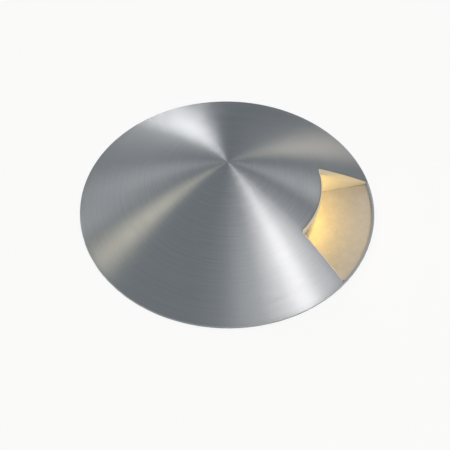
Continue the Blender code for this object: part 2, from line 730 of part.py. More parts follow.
def turning_ring(ring):
    """The ring that turns on the clamp ring, with an ear for each stud of the cover."""
    outline = []
    for number, angle in enumerate(STUD_ANGLES):
        following = STUD_ANGLES[(number + 1) % len(STUD_ANGLES)]
        while following < angle:
            following += 2 * math.pi
        ear_end, next_ear = angle + EAR_HALF_ANGLE, following - EAR_HALF_ANGLE
        steps = max(1, round((next_ear - ear_end) / (2 * math.pi) * RING_SIDES))
        outline += arc(RING_RADIUS + EAR_LENGTH, angle - EAR_HALF_ANGLE, ear_end, EAR_STEPS)
        outline += arc(RING_RADIUS, ear_end, next_ear, steps)
    inner = circle(RING_BORE, RING_SIDES)
    ears = [circle(EAR_HOLE_RADIUS, SCREW_SIDES, polar(STUD_CIRCLE, angle)) for angle in STUD_ANGLES]
    plate("turning_ring", [outline, inner, *ears], RING_BOTTOM, RING_TOP, STEEL, ring)
    collar_bottom = RING_TOP + SEAT_GAP
    collar_top = collar_bottom + GRIP_COLLAR_HEIGHT
    profile = [
        (GRIP_RADIUS + GRIP_COLLAR_WIDTH, collar_top),
        (GRIP_RADIUS + GRIP_COLLAR_WIDTH, collar_bottom),
        (GRIP_RADIUS, collar_bottom),
        (GRIP_RADIUS, RING_BOTTOM),
        (GRIP_BORE, RING_BOTTOM),
        (GRIP_BORE, collar_top),
    ]
    for number, angle in enumerate(STUD_ANGLES, 1):
        spot = (*polar(STUD_CIRCLE, angle), 0)
        turned(f"stud_grip_{number}", profile, SCREW_SIDES, BRASS, ring, closed=True, location=spot)


def flange_plate(luminaire):
    """The satin plate: the floor of the window, the glass seat and the hanging edge."""
    profile = [
        (FLANGE_RADIUS, 0),
        (FLANGE_RADIUS, -FLANGE_EDGE_THICKNESS),
        (LIP_RADIUS, -FLANGE_EDGE_THICKNESS),
        (LIP_RADIUS, -FLANGE_BODY_THICKNESS),
        (HUB_RADIUS, -FLANGE_BODY_THICKNESS),
        (HUB_RADIUS, -HUB_DEPTH),
        (APERTURE_RADIUS, -HUB_DEPTH),
        (APERTURE_RADIUS, GLASS_SEAT),
        (GLASS_SEAT_RADIUS, GLASS_SEAT),
        (GLASS_SEAT_RADIUS, 0),
    ]
    made = turned("flange_plate", profile, LARGE_SIDES, BLASTED, luminaire, closed=True)
    clamp_angles = around(CLAMP_SCREW_COUNT, CLAMP_SCREW_FIRST)
    depth = CLAMP_SCREW_GRIP + SEAT_GAP
    holes(made, CLAMP_SCREW_RADIUS + SEAT_GAP, CLAMP_SCREW_CIRCLE, clamp_angles, -depth, CUT_OVERRUN)
    low = -FLANGE_BODY_THICKNESS - CUT_OVERRUN
    high = FLANGE_SCREW_BITE + SEAT_GAP - FLANGE_BODY_THICKNESS
    flange_angles = around(FLANGE_SCREW_COUNT, FLANGE_SCREW_FIRST)
    holes(made, FLANGE_SCREW_RADIUS + SEAT_GAP, FLANGE_SCREW_CIRCLE, flange_angles, low, high)
    return made


def glass_assembly(luminaire):
    """The front glass on its gasket, under the clamp ring, and the ring's washer."""
    chamfer = GLASS_CHAMFER
    profile = [
        (0, 0),
        (GLASS_RADIUS - chamfer, 0),
        (GLASS_RADIUS, -chamfer),
        (GLASS_RADIUS, GLASS_BOTTOM + chamfer),
        (GLASS_RADIUS - chamfer, GLASS_BOTTOM),
        (0, GLASS_BOTTOM),
    ]
    turned("front_glass", profile, LARGE_SIDES, GLASS, luminaire)
    seat = [circle(GLASS_RADIUS, RING_SIDES), circle(APERTURE_RADIUS + SEAT_GAP, RING_SIDES)]
    plate("glass_gasket", seat, GASKET_BOTTOM, GLASS_BOTTOM - SEAT_GAP, SILICONE, luminaire)
    section = [
        (CLAMP_RADIUS + CLAMP_LIP_WIDTH, CLAMP_TOP),
        (CLAMP_RADIUS + CLAMP_LIP_WIDTH, CLAMP_LIP_BOTTOM),
        (CLAMP_RADIUS, CLAMP_LIP_BOTTOM),
        (CLAMP_RADIUS, SEAT_GAP),
        (CLAMP_BORE, SEAT_GAP),
        (CLAMP_BORE, CLAMP_TOP - CLAMP_CHAMFER),
        (CLAMP_BORE + CLAMP_CHAMFER, CLAMP_TOP),
    ]
    clamp = turned("clamp_ring", section, LARGE_SIDES, STEEL, luminaire, closed=True)
    angles = around(CLAMP_SCREW_COUNT, CLAMP_SCREW_FIRST)
    high = CLAMP_TOP + CUT_OVERRUN
    holes(clamp, CLAMP_SCREW_RADIUS + SEAT_GAP, CLAMP_SCREW_CIRCLE, angles, -CUT_OVERRUN, high)
    head = CLAMP_TOP + SEAT_GAP
    for number, angle in enumerate(angles, 1):
        spot = (*polar(CLAMP_SCREW_CIRCLE, angle), head)
        grip = head + CLAMP_SCREW_GRIP
        screw(f"clamp_screw_{number}", CLAMP_SCREW_RADIUS, grip, ZINC, luminaire, location=spot)
    glide = [circle(RING_RADIUS, RING_SIDES), circle(RING_BORE, RING_SIDES)]
    plate("glide_washer", glide, GLIDE_BOTTOM, GLIDE_BOTTOM + GLIDE_THICKNESS, WHITE_PLASTIC, luminaire)


def housing_body(luminaire):
    """The cast housing: lip, wall, cooling fins, base rim and the shelf for the LED."""
    profile = [
        (0, SHELF_TOP),
        (HOUSING_BORE, SHELF_TOP),
        (HOUSING_BORE, HOUSING_TOP),
        (LIP_RADIUS, HOUSING_TOP),
        (LIP_RADIUS, HOUSING_LIP_BOTTOM),
        (HOUSING_RADIUS, HOUSING_LIP_BOTTOM),
        (HOUSING_RADIUS, BASE_RIM_TOP),
        (BASE_RADIUS, BASE_RIM_TOP),
        (BASE_RADIUS, HOUSING_BOTTOM),
        (HOUSING_BORE, HOUSING_BOTTOM),
        (HOUSING_BORE, SHELF_BOTTOM),
        (0, SHELF_BOTTOM),
    ]
    made = turned("housing_body", profile, LARGE_SIDES, CAST, luminaire)
    outline = []
    tip = HOUSING_RADIUS + FIN_HEIGHT
    root_half = math.asin(FIN_THICKNESS / 2 / HOUSING_RADIUS)
    tip_half = math.asin(FIN_THICKNESS / 2 / tip)
    root = HOUSING_RADIUS - JOIN_OVERLAP
    for angle in around(FIN_COUNT, math.pi / FIN_COUNT):
        outline += [polar(root, angle - root_half), polar(tip, angle - tip_half)]
        outline += [polar(tip, angle + tip_half), polar(root, angle + root_half)]
    inner = circle(HOUSING_BORE + JOIN_OVERLAP, FIN_COUNT * 4)
    low = BASE_RIM_TOP - JOIN_OVERLAP
    high = HOUSING_LIP_BOTTOM - FIN_TOP_SPACE
    boolean(made, plate("housing_fins", [outline, inner], low, high, None, luminaire), "UNION")
    flange_angles = around(FLANGE_SCREW_COUNT, FLANGE_SCREW_FIRST)
    low, high = HOUSING_LIP_BOTTOM - CUT_OVERRUN, HOUSING_TOP + CUT_OVERRUN
    holes(made, FLANGE_SCREW_RADIUS + SEAT_GAP, FLANGE_SCREW_CIRCLE, flange_angles, low, high)
    base_angles = around(BASE_SCREW_COUNT, BASE_SCREW_FIRST)
    low, high = HOUSING_BOTTOM - CUT_OVERRUN, HOUSING_BOTTOM + BASE_SCREW_BITE + SEAT_GAP
    holes(made, BASE_SCREW_RADIUS + SEAT_GAP, BASE_SCREW_CIRCLE, base_angles, low, high)
    low, high = SHELF_BOTTOM - CUT_OVERRUN, SHELF_TOP + CUT_OVERRUN
    holes(made, WIRE_HOLE_RADIUS, wire_circle(), WIRE_ANGLES, low, high)
    low = SHELF_TOP - BOARD_SCREW_BITE - SEAT_GAP
    holes(made, BOARD_SCREW_RADIUS + SEAT_GAP, board_screw_circle(), BOARD_SCREW_ANGLES, low, high)
    gasket = [
        circle(LIP_RADIUS - HOUSING_GASKET_INSET, LARGE_SIDES),
        circle(HOUSING_BORE + HOUSING_GASKET_INSET, LARGE_SIDES),
    ]
    hole = FLANGE_SCREW_RADIUS + SEAT_GAP
    gasket += [circle(hole, SCREW_SIDES, polar(FLANGE_SCREW_CIRCLE, angle)) for angle in flange_angles]
    top = HOUSING_GASKET_BOTTOM + HOUSING_GASKET_THICKNESS
    plate("housing_gasket", gasket, HOUSING_GASKET_BOTTOM, top, RUBBER, luminaire)
    head = HOUSING_LIP_BOTTOM - SEAT_GAP
    grip = FLANGE_SCREW_BITE - FLANGE_BODY_THICKNESS - head
    for number, angle in enumerate(flange_angles, 1):
        spot = (*polar(FLANGE_SCREW_CIRCLE, angle), head)
        name = f"flange_screw_{number}"
        screw(name, FLANGE_SCREW_RADIUS, grip, ZINC, luminaire, location=spot, rotation=(math.pi, 0, 0))


def wire_circle():
    """Radius at which the LED wires pass the shelf, just outside the LED board."""
    return BOARD_RADIUS + WIRE_HOLE_RADIUS + SEAT_GAP


def board_screw_circle():
    """Radius of the LED board's screws, between the holder and the board's edge."""
    return (HOLDER_RADIUS + BOARD_RADIUS) / 2


def led_assembly(luminaire):
    """The LED on its board, thermal pad and holder, with the lens and the two wires."""
    edge = circle(BOARD_RADIUS, RING_SIDES)
    hole = BOARD_SCREW_RADIUS + SEAT_GAP
    spots = [polar(board_screw_circle(), angle) for angle in BOARD_SCREW_ANGLES]
    drilled = [circle(hole, SCREW_SIDES, spot) for spot in spots]
    pad_top = PAD_BOTTOM + PAD_THICKNESS
    plate("thermal_pad", [edge, *drilled], PAD_BOTTOM, pad_top, PAD_GREY, luminaire)
    plate("led_board", [edge, *drilled], BOARD_BOTTOM, BOARD_TOP, LED_BOARD, luminaire)
    chip_low = BOARD_TOP + SEAT_GAP
    rod("led_chip", CHIP_RADIUS, chip_low, chip_low + CHIP_THICKNESS, BOSS_SIDES, PHOSPHOR, luminaire)
    ring = [circle(HOLDER_RADIUS, RING_SIDES), circle(HOLDER_BORE_RADIUS, BOSS_SIDES)]
    plate("led_holder", ring, HOLDER_BOTTOM, HOLDER_TOP, WHITE_PLASTIC, luminaire)
    grip = BOARD_TOP + SEAT_GAP - SHELF_TOP + BOARD_SCREW_BITE
    for number, spot in enumerate(spots, 1):
        place = (*spot, BOARD_TOP + SEAT_GAP)
        screw(f"board_screw_{number}", BOARD_SCREW_RADIUS, grip, ZINC, luminaire, location=place)
    profile = [
        (0, LENS_TOP),
        (LENS_TOP_RADIUS, LENS_TOP),
        (LENS_TOP_RADIUS, LENS_TOP - LENS_RIM),
        (LENS_FOOT_RADIUS, LENS_BOTTOM),
        (LENS_CUP_RADIUS, LENS_BOTTOM),
        (LENS_CUP_RADIUS, LENS_BOTTOM + LENS_CUP_DEPTH),
        (0, LENS_BOTTOM + LENS_CUP_DEPTH),
    ]
    turned("beam_lens", profile, RING_SIDES, LENS, luminaire)
    start = (BOARD_RADIUS + HOLDER_RADIUS) / 2
    bottom = DRIVER_BOARD_TOP + SEAT_GAP + WIRE_RADIUS
    low = BOARD_TOP + SEAT_GAP
    for name, angle, finish in zip(("led_wire_red", "led_wire_black"), WIRE_ANGLES, (RED, BLACK_PLASTIC)):
        points = [(*polar(start, angle), low)]
        for i in range(WIRE_POINTS):
            turn = math.pi * i / (WIRE_POINTS - 1)
            across = (wire_circle() - start) / 2
            radius = start + across * (1 - math.cos(turn))
            points.append((*polar(radius, angle), low + WIRE_RISE * (1 + math.sin(turn)) / 2))
        points.append((*polar(wire_circle(), angle), SHELF_BOTTOM))
        foot = DRIVER_BOARD_WIDTH / 2 - WIRE_HOLE_RADIUS
        points.append((*polar(foot, angle), (SHELF_BOTTOM + bottom) / 2))
        points.append((*polar(foot, angle), bottom))
        tube(name, points, WIRE_RADIUS, finish, luminaire)


def driver_assembly(luminaire):
    """The driver board on its tray, with transformer, capacitor and terminal block."""
    rings = [circle(TRAY_RADIUS, LARGE_SIDES), circle(TRAY_RADIUS - TRAY_WALL, LARGE_SIDES)]
    tray_top = TRAY_BOTTOM + TRAY_HEIGHT
    plate("driver_tray", rings, TRAY_BOTTOM, tray_top, BLACK_PLASTIC, luminaire)
    board = (DRIVER_BOARD_LENGTH, DRIVER_BOARD_WIDTH, DRIVER_BOARD_BOTTOM, DRIVER_BOARD_TOP)
    block("driver_board", *board, GREEN_BOARD, luminaire)
    low = DRIVER_BOARD_TOP + SEAT_GAP
    place = (-TRANSFORMER_LENGTH / 2 - PART_SPACE, 0, 0)
    size = (TRANSFORMER_LENGTH, TRANSFORMER_WIDTH, low, low + TRANSFORMER_HEIGHT)
    block("driver_transformer", *size, BLACK_PLASTIC, luminaire, location=place)
    place = (CAPACITOR_RADIUS, -CAPACITOR_RADIUS - PART_SPACE, 0)
    high = low + CAPACITOR_HEIGHT
    rod("driver_capacitor", CAPACITOR_RADIUS, low, high, BOSS_SIDES, GREY_PLASTIC, luminaire, location=place)
    place = (DRIVER_HALF_ROOM - TERMINAL_LENGTH / 2, 0, 0)
    size = (TERMINAL_LENGTH, TERMINAL_WIDTH, low, low + TERMINAL_HEIGHT)
    terminal = block("terminal_block", *size, WHITE_PLASTIC, luminaire, location=place)
    high = low + TERMINAL_HEIGHT
    for way in range(TERMINAL_WAYS):
        y = TERMINAL_WIDTH * ((way + 0.5) / TERMINAL_WAYS - 0.5)
        name = f"terminal_way_{way}"
        spot = (place[0], y, 0)
        bottom = high - TERMINAL_WAY_DEPTH
        drill = (TERMINAL_WAY_RADIUS, bottom, high + CUT_OVERRUN, SCREW_SIDES)
        boolean(terminal, rod(name, *drill, None, luminaire, location=spot))


def base_assembly(luminaire):
    """The plate that closes the housing from below, its seal, screws and vent."""
    spigot = SPIGOT_RADIUS
    groove = spigot - RING_GROOVE_DEPTH
    cord_half = RING_CORD_RADIUS + SEAT_GAP
    spigot_top = BASE_TOP + SPIGOT_HEIGHT
    cord_height = BASE_TOP + SPIGOT_HEIGHT / 2
    hole = GLAND_THREAD_RADIUS + SEAT_GAP
    profile = [
        (BASE_RADIUS, BASE_TOP),
        (BASE_RADIUS, BASE_BOTTOM),
        (hole, BASE_BOTTOM),
        (hole, BASE_TOP),
        (SPIGOT_BORE, BASE_TOP),
        (SPIGOT_BORE, spigot_top),
        (spigot, spigot_top),
        (spigot, cord_height + cord_half),
        (groove, cord_height + cord_half),
        (groove, cord_height - cord_half),
        (spigot, cord_height - cord_half),
        (spigot, BASE_TOP),
    ]
    made = turned("base_plate", profile, LARGE_SIDES, CAST, luminaire, closed=True)
    angles = around(BASE_SCREW_COUNT, BASE_SCREW_FIRST)
    low, high = BASE_BOTTOM - CUT_OVERRUN, BASE_TOP + CUT_OVERRUN
    holes(made, BASE_SCREW_RADIUS + SEAT_GAP, BASE_SCREW_CIRCLE, angles, low, high)
    vent_circle = BASE_RADIUS * BREATHER_PLACE_SHARE
    holes(made, BREATHER_RADIUS + SEAT_GAP, vent_circle, [BREATHER_ANGLE], low, high)
    cord_middle = groove + cord_half
    cord = [(cord_middle + x, cord_height - y) for x, y in circle(RING_CORD_RADIUS, CORD_SIDES)]
    turned("base_o_ring", cord, LARGE_SIDES, SILICONE, luminaire, closed=True)
    grip = BASE_SCREW_BITE + HOUSING_BOTTOM - BASE_BOTTOM + SEAT_GAP
    for number, angle in enumerate(angles, 1):
        spot = (*polar(BASE_SCREW_CIRCLE, angle), BASE_BOTTOM - SEAT_GAP)
        name = f"base_screw_{number}"
        screw(name, BASE_SCREW_RADIUS, grip, ZINC, luminaire, location=spot, rotation=(math.pi, 0, 0))
    head = BASE_BOTTOM - SEAT_GAP
    profile = [
        (0, BASE_TOP),
        (BREATHER_RADIUS, BASE_TOP),
        (BREATHER_RADIUS, head),
        (BREATHER_HEAD_RADIUS, head),
        (BREATHER_HEAD_RADIUS, head - BREATHER_HEAD_HEIGHT),
        (0, head - BREATHER_HEAD_HEIGHT),
    ]
    spot = (*polar(vent_circle, BREATHER_ANGLE), 0)
    turned("breather_plug", profile, BOSS_SIDES, BLACK_PLASTIC, luminaire, location=spot)


def cable_gland(luminaire):
    """The cable gland in the middle of the base plate, with its bore left open."""
    collar = GLAND_HEX / math.sqrt(3)
    profile = [
        (GLAND_THREAD_RADIUS, LOCKNUT_TOP + THREAD_STANDOUT),
        (GLAND_THREAD_RADIUS, GLAND_COLLAR_TOP),
        (collar, GLAND_COLLAR_TOP),
        (collar, GLAND_COLLAR_BOTTOM),
        (GLAND_TAIL_RADIUS, GLAND_COLLAR_BOTTOM),
        (GLAND_TAIL_RADIUS, GLAND_TAIL_BOTTOM),
        (GLAND_BORE_RADIUS, GLAND_TAIL_BOTTOM),
        (GLAND_BORE_RADIUS, LOCKNUT_TOP + THREAD_STANDOUT),
    ]
    body = turned("gland_body", profile, RING_SIDES, BLACK_PLASTIC, luminaire, closed=True)
    hexed(body, GLAND_HEX, GLAND_TAIL_BOTTOM - CUT_OVERRUN, LOCKNUT_TOP + CUT_OVERRUN)
    locknut_bore = GLAND_THREAD_RADIUS + SEAT_GAP
    outline = [polar(LOCKNUT_HEX / math.sqrt(3), angle) for angle in around(6, 0)]
    rings = [outline, circle(locknut_bore, BOSS_SIDES)]
    plate("gland_locknut", rings, BASE_TOP + SEAT_GAP, LOCKNUT_TOP, BRASS, luminaire)
    nut_bore = GLAND_TAIL_RADIUS + SEAT_GAP
    rings = [circle(GLAND_TAIL_RADIUS, BOSS_SIDES), circle(SEAL_BORE_RADIUS, BOSS_SIDES)]
    plate("gland_seal", rings, SEAL_BOTTOM, SEAL_TOP, RUBBER, luminaire)
    nut = nut_bore + NUT_WALL
    profile = [
        (nut, NUT_TOP),
        (nut, NUT_BOTTOM + NUT_TAPER),
        (nut_bore, NUT_BOTTOM),
        (GLAND_BORE_RADIUS, NUT_BOTTOM),
        (GLAND_BORE_RADIUS, NUT_BOTTOM + NUT_LIP),
        (nut_bore, NUT_BOTTOM + NUT_LIP),
        (nut_bore, NUT_TOP),
    ]
    turned("gland_nut", profile, BOSS_SIDES, BLACK_PLASTIC, luminaire, closed=True)


def spring_clip(number, angle, luminaire):
    """A spring clip on the side of the base rim. It leans out to the sleeve's wall and
    folds in about its pin. The bracket and the pin stay with the luminaire."""
    place = (*polar(CLIP_PIVOT_RADIUS, angle), CLIP_PIVOT_HEIGHT)
    mount = empty(f"clip_{number}_mount", luminaire, place, angle)
    back = BASE_RADIUS + SEAT_GAP - CLIP_PIVOT_RADIUS
    ear_end = CLIP_BARREL_RADIUS
    inner, outer = CLIP_EAR_GAP / 2, CLIP_EAR_GAP / 2 + CLIP_PLATE
    outline = [
        (back, -outer),
        (ear_end, -outer),
        (ear_end, -inner),
        (back + CLIP_PLATE, -inner),
        (back + CLIP_PLATE, inner),
        (ear_end, inner),
        (ear_end, outer),
        (back, outer),
    ]
    half = CLIP_BRACKET_HEIGHT / 2
    bracket = plate(f"clip_bracket_{number}", [outline], -half, half, ZINC, mount)
    bore = CLIP_PIN_RADIUS + SEAT_GAP
    across = (math.pi / 2, 0, 0)
    span = outer + CUT_OVERRUN
    drill = rod(f"bracket_{number}_pin_hole", bore, -span, span, SCREW_SIDES, None, mount, rotation=across)
    boolean(bracket, drill)
    head = CLIP_PIN_RADIUS + CLIP_PIN_HEAD
    pin_end = outer + SEAT_GAP
    profile = [
        (0, pin_end + CLIP_PIN_HEAD),
        (head, pin_end + CLIP_PIN_HEAD),
        (head, pin_end),
        (CLIP_PIN_RADIUS, pin_end),
        (CLIP_PIN_RADIUS, -outer),
        (0, -outer),
    ]
    turned(f"clip_pin_{number}", profile, SCREW_SIDES, ZINC, mount, rotation=across)

    fold = empty(f"clip_{number}_fold", mount)
    lean = empty(f"clip_{number}_lean", fold)
    lean.rotation_euler = (0, CLIP_LEAN, 0)
    upright = (math.pi / 2, 0, 0)
    edge = inner - SEAT_GAP
    barrel_end = edge - CLIP_BARREL_WIDTH
    half = CLIP_ARM_THICKNESS / 2
    start = math.asin(half / CLIP_BARREL_RADIUS)
    outline = arc(CLIP_BARREL_RADIUS, math.pi / 2 + start, 2.5 * math.pi - start, BOSS_SIDES)
    outline += [(half, CLIP_ARM_LENGTH / 2), (-half, CLIP_ARM_LENGTH / 2)]
    eye = circle(CLIP_PIN_RADIUS + SEAT_GAP, SCREW_SIDES)
    arm = plate(f"clip_arm_{number}", [outline, eye], barrel_end, edge, STEEL, lean, rotation=upright)
    nose = CLIP_NOSE_RADIUS
    open_by = math.asin(half / nose)
    blade = [(half, CLIP_SHOULDER)]
    blade += arc(nose, open_by - math.pi / 2, 1.5 * math.pi - open_by, BOSS_SIDES // 2, (0, CLIP_ARM_LENGTH))
    blade += [(-half, CLIP_SHOULDER)]
    tool = plate(f"clip_blade_{number}", [blade], -edge, edge, None, lean, rotation=upright)
    boolean(arm, tool, "UNION")

    wire = CLIP_SPRING_WIRE
    coil = CLIP_PIN_RADIUS + 2 * SEAT_GAP + wire
    first = edge - wire
    last = -barrel_end + SEAT_GAP + wire
    turns = CLIP_SPRING_TURNS * CLIP_SPRING_STEPS
    points = []
    for i in range(turns + 1):
        angle_on = 2 * math.pi * i / CLIP_SPRING_STEPS
        along = first + (last - first) * i / turns
        points.append((-coil * math.cos(angle_on), along, coil * math.sin(angle_on)))
    points.append((-coil, last, coil))
    points.append((-half - wire - SEAT_GAP, last, CLIP_SPRING_LEG))
    tube(f"clip_spring_{number}", points, wire, STEEL, lean)


def sleeve_pot(root):
    """The installation sleeve that is set in the ground, with its cable entry."""
    ribs = []
    spacing = (SLEEVE_TOP - SLEEVE_BOTTOM) / (ANCHOR_RIB_COUNT + 1)
    for i in range(ANCHOR_RIB_COUNT):
        top = SLEEVE_TOP - spacing * (i + 1) + ANCHOR_RIB_HEIGHT / 2
        low = top - ANCHOR_RIB_HEIGHT
        rim = SLEEVE_RADIUS + ANCHOR_RIB_WIDTH
        ribs += [(SLEEVE_RADIUS, top), (rim, top), (rim, low), (SLEEVE_RADIUS, low)]
    profile = [
        (0, SLEEVE_FLOOR_TOP),
        (SLEEVE_BORE, SLEEVE_FLOOR_TOP),
        (SLEEVE_BORE, SLEEVE_TOP),
        (COLLAR_RADIUS, SLEEVE_TOP),
        (COLLAR_RADIUS, SLEEVE_TOP - COLLAR_HEIGHT),
        (SLEEVE_RADIUS, SLEEVE_TOP - COLLAR_HEIGHT),
        *ribs,
        (SLEEVE_RADIUS, SLEEVE_BOTTOM),
        (0, SLEEVE_BOTTOM),
    ]
    made = turned("sleeve_pot", profile, LARGE_SIDES, GREY_PLASTIC, root)
    low, high = SLEEVE_BOTTOM - CUT_OVERRUN, SLEEVE_FLOOR_TOP + CUT_OVERRUN
    drains = around(DRAIN_COUNT, math.pi / DRAIN_COUNT)
    holes(made, DRAIN_RADIUS, SLEEVE_BORE * DRAIN_PLACE_SHARE, drains, low, high)
    flat = (math.pi / 2, 0, ENTRY_ANGLE + math.pi / 2)
    drill = (ENTRY_RADIUS, SLEEVE_BORE / 2, COLLAR_RADIUS + CUT_OVERRUN, BOSS_SIDES)
    place = {"location": (0, 0, ENTRY_HEIGHT), "rotation": flat}
    boolean(made, rod("cable_entry_cut", *drill, None, root, **place))

    neck, rim = GROMMET_NECK, GROMMET_RIM
    inner_face = math.sqrt(SLEEVE_BORE**2 - rim**2) - GROMMET_EASE
    outer_face = SLEEVE_RADIUS + GROMMET_EASE
    profile = [
        (rim, outer_face + GROMMET_FLANGE_THICKNESS),
        (rim, outer_face),
        (neck, outer_face),
        (neck, inner_face),
        (rim, inner_face),
        (rim, inner_face - GROMMET_FLANGE_THICKNESS),
        (GROMMET_BORE_RADIUS, inner_face - GROMMET_FLANGE_THICKNESS),
        (GROMMET_BORE_RADIUS, outer_face + GROMMET_FLANGE_THICKNESS),
    ]
    turned("sleeve_grommet", profile, BOSS_SIDES, RUBBER, root, closed=True, **place)


def build():
    """Builds the light on its chain of bodies, from the sleeve up to the cover."""
    root = empty("paving_level", None, (0, 0, -SLEEVE_BOTTOM))
    luminaire = empty("luminaire_lift", root)
    ring = empty("cover_turn", luminaire)
    cover = empty("cover_pull", ring)
    sleeve_pot(root)
    flange_plate(luminaire)
    glass_assembly(luminaire)
    housing_body(luminaire)
    led_assembly(luminaire)
    driver_assembly(luminaire)
    base_assembly(luminaire)
    cable_gland(luminaire)
    for number, angle in enumerate(CLIP_ANGLES, 1):
        spring_clip(number, angle, luminaire)
    turning_ring(ring)
    dome_cover(cover)
    light_hood(cover)
    beam_cone(cover)
    cover_studs(cover)


for old in list(bpy.data.objects):
    bpy.data.objects.remove(old)
parts = collection("in_ground_light")
cutters = collection("cutters")
build()
bpy.context.view_layer.update()
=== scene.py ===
"""The looks of the in-ground marker light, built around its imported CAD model.

Everything is in metres in the model's own frame: +Z is up, the origin is at the bottom
centre of the installation sleeve, and the paving lies at PAVING. The classes count their
heights from the paving, and dress() lifts the finished pieces by it.
"""

from __future__ import annotations

import logging
import math
from dataclasses import dataclass
from enum import Enum
from functools import partial

import bmesh
import bpy
from mathutils import Matrix, Vector


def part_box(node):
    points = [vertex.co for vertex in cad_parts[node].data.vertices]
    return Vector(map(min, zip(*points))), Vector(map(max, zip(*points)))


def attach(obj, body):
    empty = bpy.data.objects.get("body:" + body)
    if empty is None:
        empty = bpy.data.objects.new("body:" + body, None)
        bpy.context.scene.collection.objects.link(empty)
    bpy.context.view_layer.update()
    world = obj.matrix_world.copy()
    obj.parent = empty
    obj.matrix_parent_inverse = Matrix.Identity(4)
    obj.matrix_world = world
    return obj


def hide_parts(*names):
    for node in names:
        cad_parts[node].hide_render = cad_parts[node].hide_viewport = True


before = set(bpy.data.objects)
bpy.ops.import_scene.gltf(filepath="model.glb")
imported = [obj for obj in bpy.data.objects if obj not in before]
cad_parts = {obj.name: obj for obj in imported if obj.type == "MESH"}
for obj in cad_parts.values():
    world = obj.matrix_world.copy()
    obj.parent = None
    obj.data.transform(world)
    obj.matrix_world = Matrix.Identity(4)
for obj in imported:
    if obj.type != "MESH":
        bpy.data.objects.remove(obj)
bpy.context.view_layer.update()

log = logging.getLogger("in_ground_light")

MM = 0.001
Outline = list[tuple[float, float]]
Piece = bpy.types.Object
Tree = bpy.types.NodeTree
Socket = bpy.types.NodeSocket
PURE_WHITE = (1, 1, 1, 1)

# Sizes that more than one sub-assembly needs
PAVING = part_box("flange_plate")[1].z
SEAT_GAP = 0.3 * MM
STUD_CIRCLE = 36 * MM
STUD_ANGLES = [math.radians(angle) for angle in (77.25, 167.25, 257.25)]
RING_BORE = 28.8 * MM
RING_RADIUS = 33.8 * MM
FLANGE_SCREW_CIRCLE = 46.5 * MM
FLANGE_SCREW_RADIUS = 1.5 * MM
SHELF_TOP = -21.3 * MM
BOARD_SCREW_RADIUS = 1 * MM
BOARD_SCREW_SPOTS = [(13.5 * MM, 0), (-13.5 * MM, 0)]

# How threads are drawn: their depth and pitch are shares of the radius
THREAD_DEPTH_SHARE = 0.16
DEEPEST_THREAD = 0.35 * MM
THREAD_PITCH_SHARE = 0.45

# How meshes are made
OVERRUN = 2 * MM  # how far a cutter runs past what it cuts
JOIN = 0.6 * MM  # how far shapes that become one piece run into each other
SOLVE_STEPS = 40  # halvings in the search for the dome's foot
CLOSE_POINTS = 0.15 * MM  # closer points on the dome's cut edges become one
SAME_POINT = 1e-6  # closer points of a curve's mesh become one
ON_AXIS = 1e-7  # a smaller radius is a point on the axis
NO_LENGTH = 1e-9  # a shorter side of an outline is passed over
NEARLY_STRAIGHT = math.radians(85)  # half the angle at a corner that stays as it is
CORNER_SHARE = 0.45  # how much of a side the rounding at each end may take
LONG_SIDE = 1.2 * MM  # a longer side of a rounded outline gets points of its own
SUPPORT_INSET = 0.15 * MM  # from its ends to the first of them
SUPPORT_STEP = 5 * MM
SHARP_ANGLE = math.radians(38)


class Body(Enum):
    """The CAD bodies that pieces ride on."""

    SLEEVE = "sleeve"
    LUMINAIRE = "luminaire"
    RING = "turning_ring"
    COVER = "cover"
    CLIP_1 = "clip_1"
    CLIP_2 = "clip_2"


class Slot(Enum):
    """The record's material slots."""

    TURNED_STEEL = "turned_steel"
    SPRING_STEEL = "spring_steel"
    BLASTED = "blasted_aluminium"
    CAST = "cast_aluminium"
    POLISHED = "polished_aluminium"
    ZINC = "zinc_steel"
    BRASS = "brass"
    CREAM = "cream_plastic"
    GLASS = "clear_glass"
    LENS = "lens_plastic"
    SILICONE = "silicone"
    RUBBER = "black_rubber"
    BLACK = "black_plastic"
    GREY = "grey_plastic"
    WHITE = "white_plastic"
    LED_BOARD = "white_board"
    PHOSPHOR = "phosphor"
    GREEN_BOARD = "green_board"
    PAD = "grey_pad"
    RED_WIRE = "red_wire"


# Colours and nodes


def linear(colour: str) -> tuple[float, float, float, float]:
    """Turns an sRGB hex colour into the linear one that a shader takes.

    Args:
        colour: The colour, as "#rrggbb".

    Returns:
        Linear red, green, blue and an alpha of one.
    """
    parts = [int(colour[i : i + 2], 16) / 255 for i in (1, 3, 5)]
    made = [c / 12.92 if c <= 0.04045 else ((c + 0.055) / 1.055) ** 2.4 for c in parts]
    return (made[0], made[1], made[2], 1.0)


def add_node(tree: Tree, kind: str, inputs: dict | None = None, **settings: object) -> bpy.types.Node:
    """Adds a node with its settings and links.

    Args:
        tree: The node tree that it goes into.
        kind: Blender's name for the kind of node.
        inputs: For each input's name or number, its value or the output it takes.
        **settings: Attributes of the node itself.

    Returns:
        The new node.
    """
    made = tree.nodes.new(kind)
    for name, value in settings.items():
        setattr(made, name, value)
    for socket, value in (inputs or {}).items():
        if isinstance(value, Socket):
            tree.links.new(value, made.inputs[socket])
        else:
            made.inputs[socket].default_value = value
    return made


def new_material(name: str) -> tuple[bpy.types.Material, Tree]:
    """Makes an empty node material.

    Args:
        name: Its name.

    Returns:
        The material and its cleared node tree.
    """
    made = bpy.data.materials.new(name)
    made.use_nodes = True
    made.node_tree.nodes.clear()
    return made, made.node_tree


class Grain(Enum):
    """How a surface was made, which decides the pattern of its grain."""

    BLASTED = "blasted"
    CAST = "cast"
    MOULDED = "moulded"
    ROLLED = "rolled"
    TURNED = "turned"


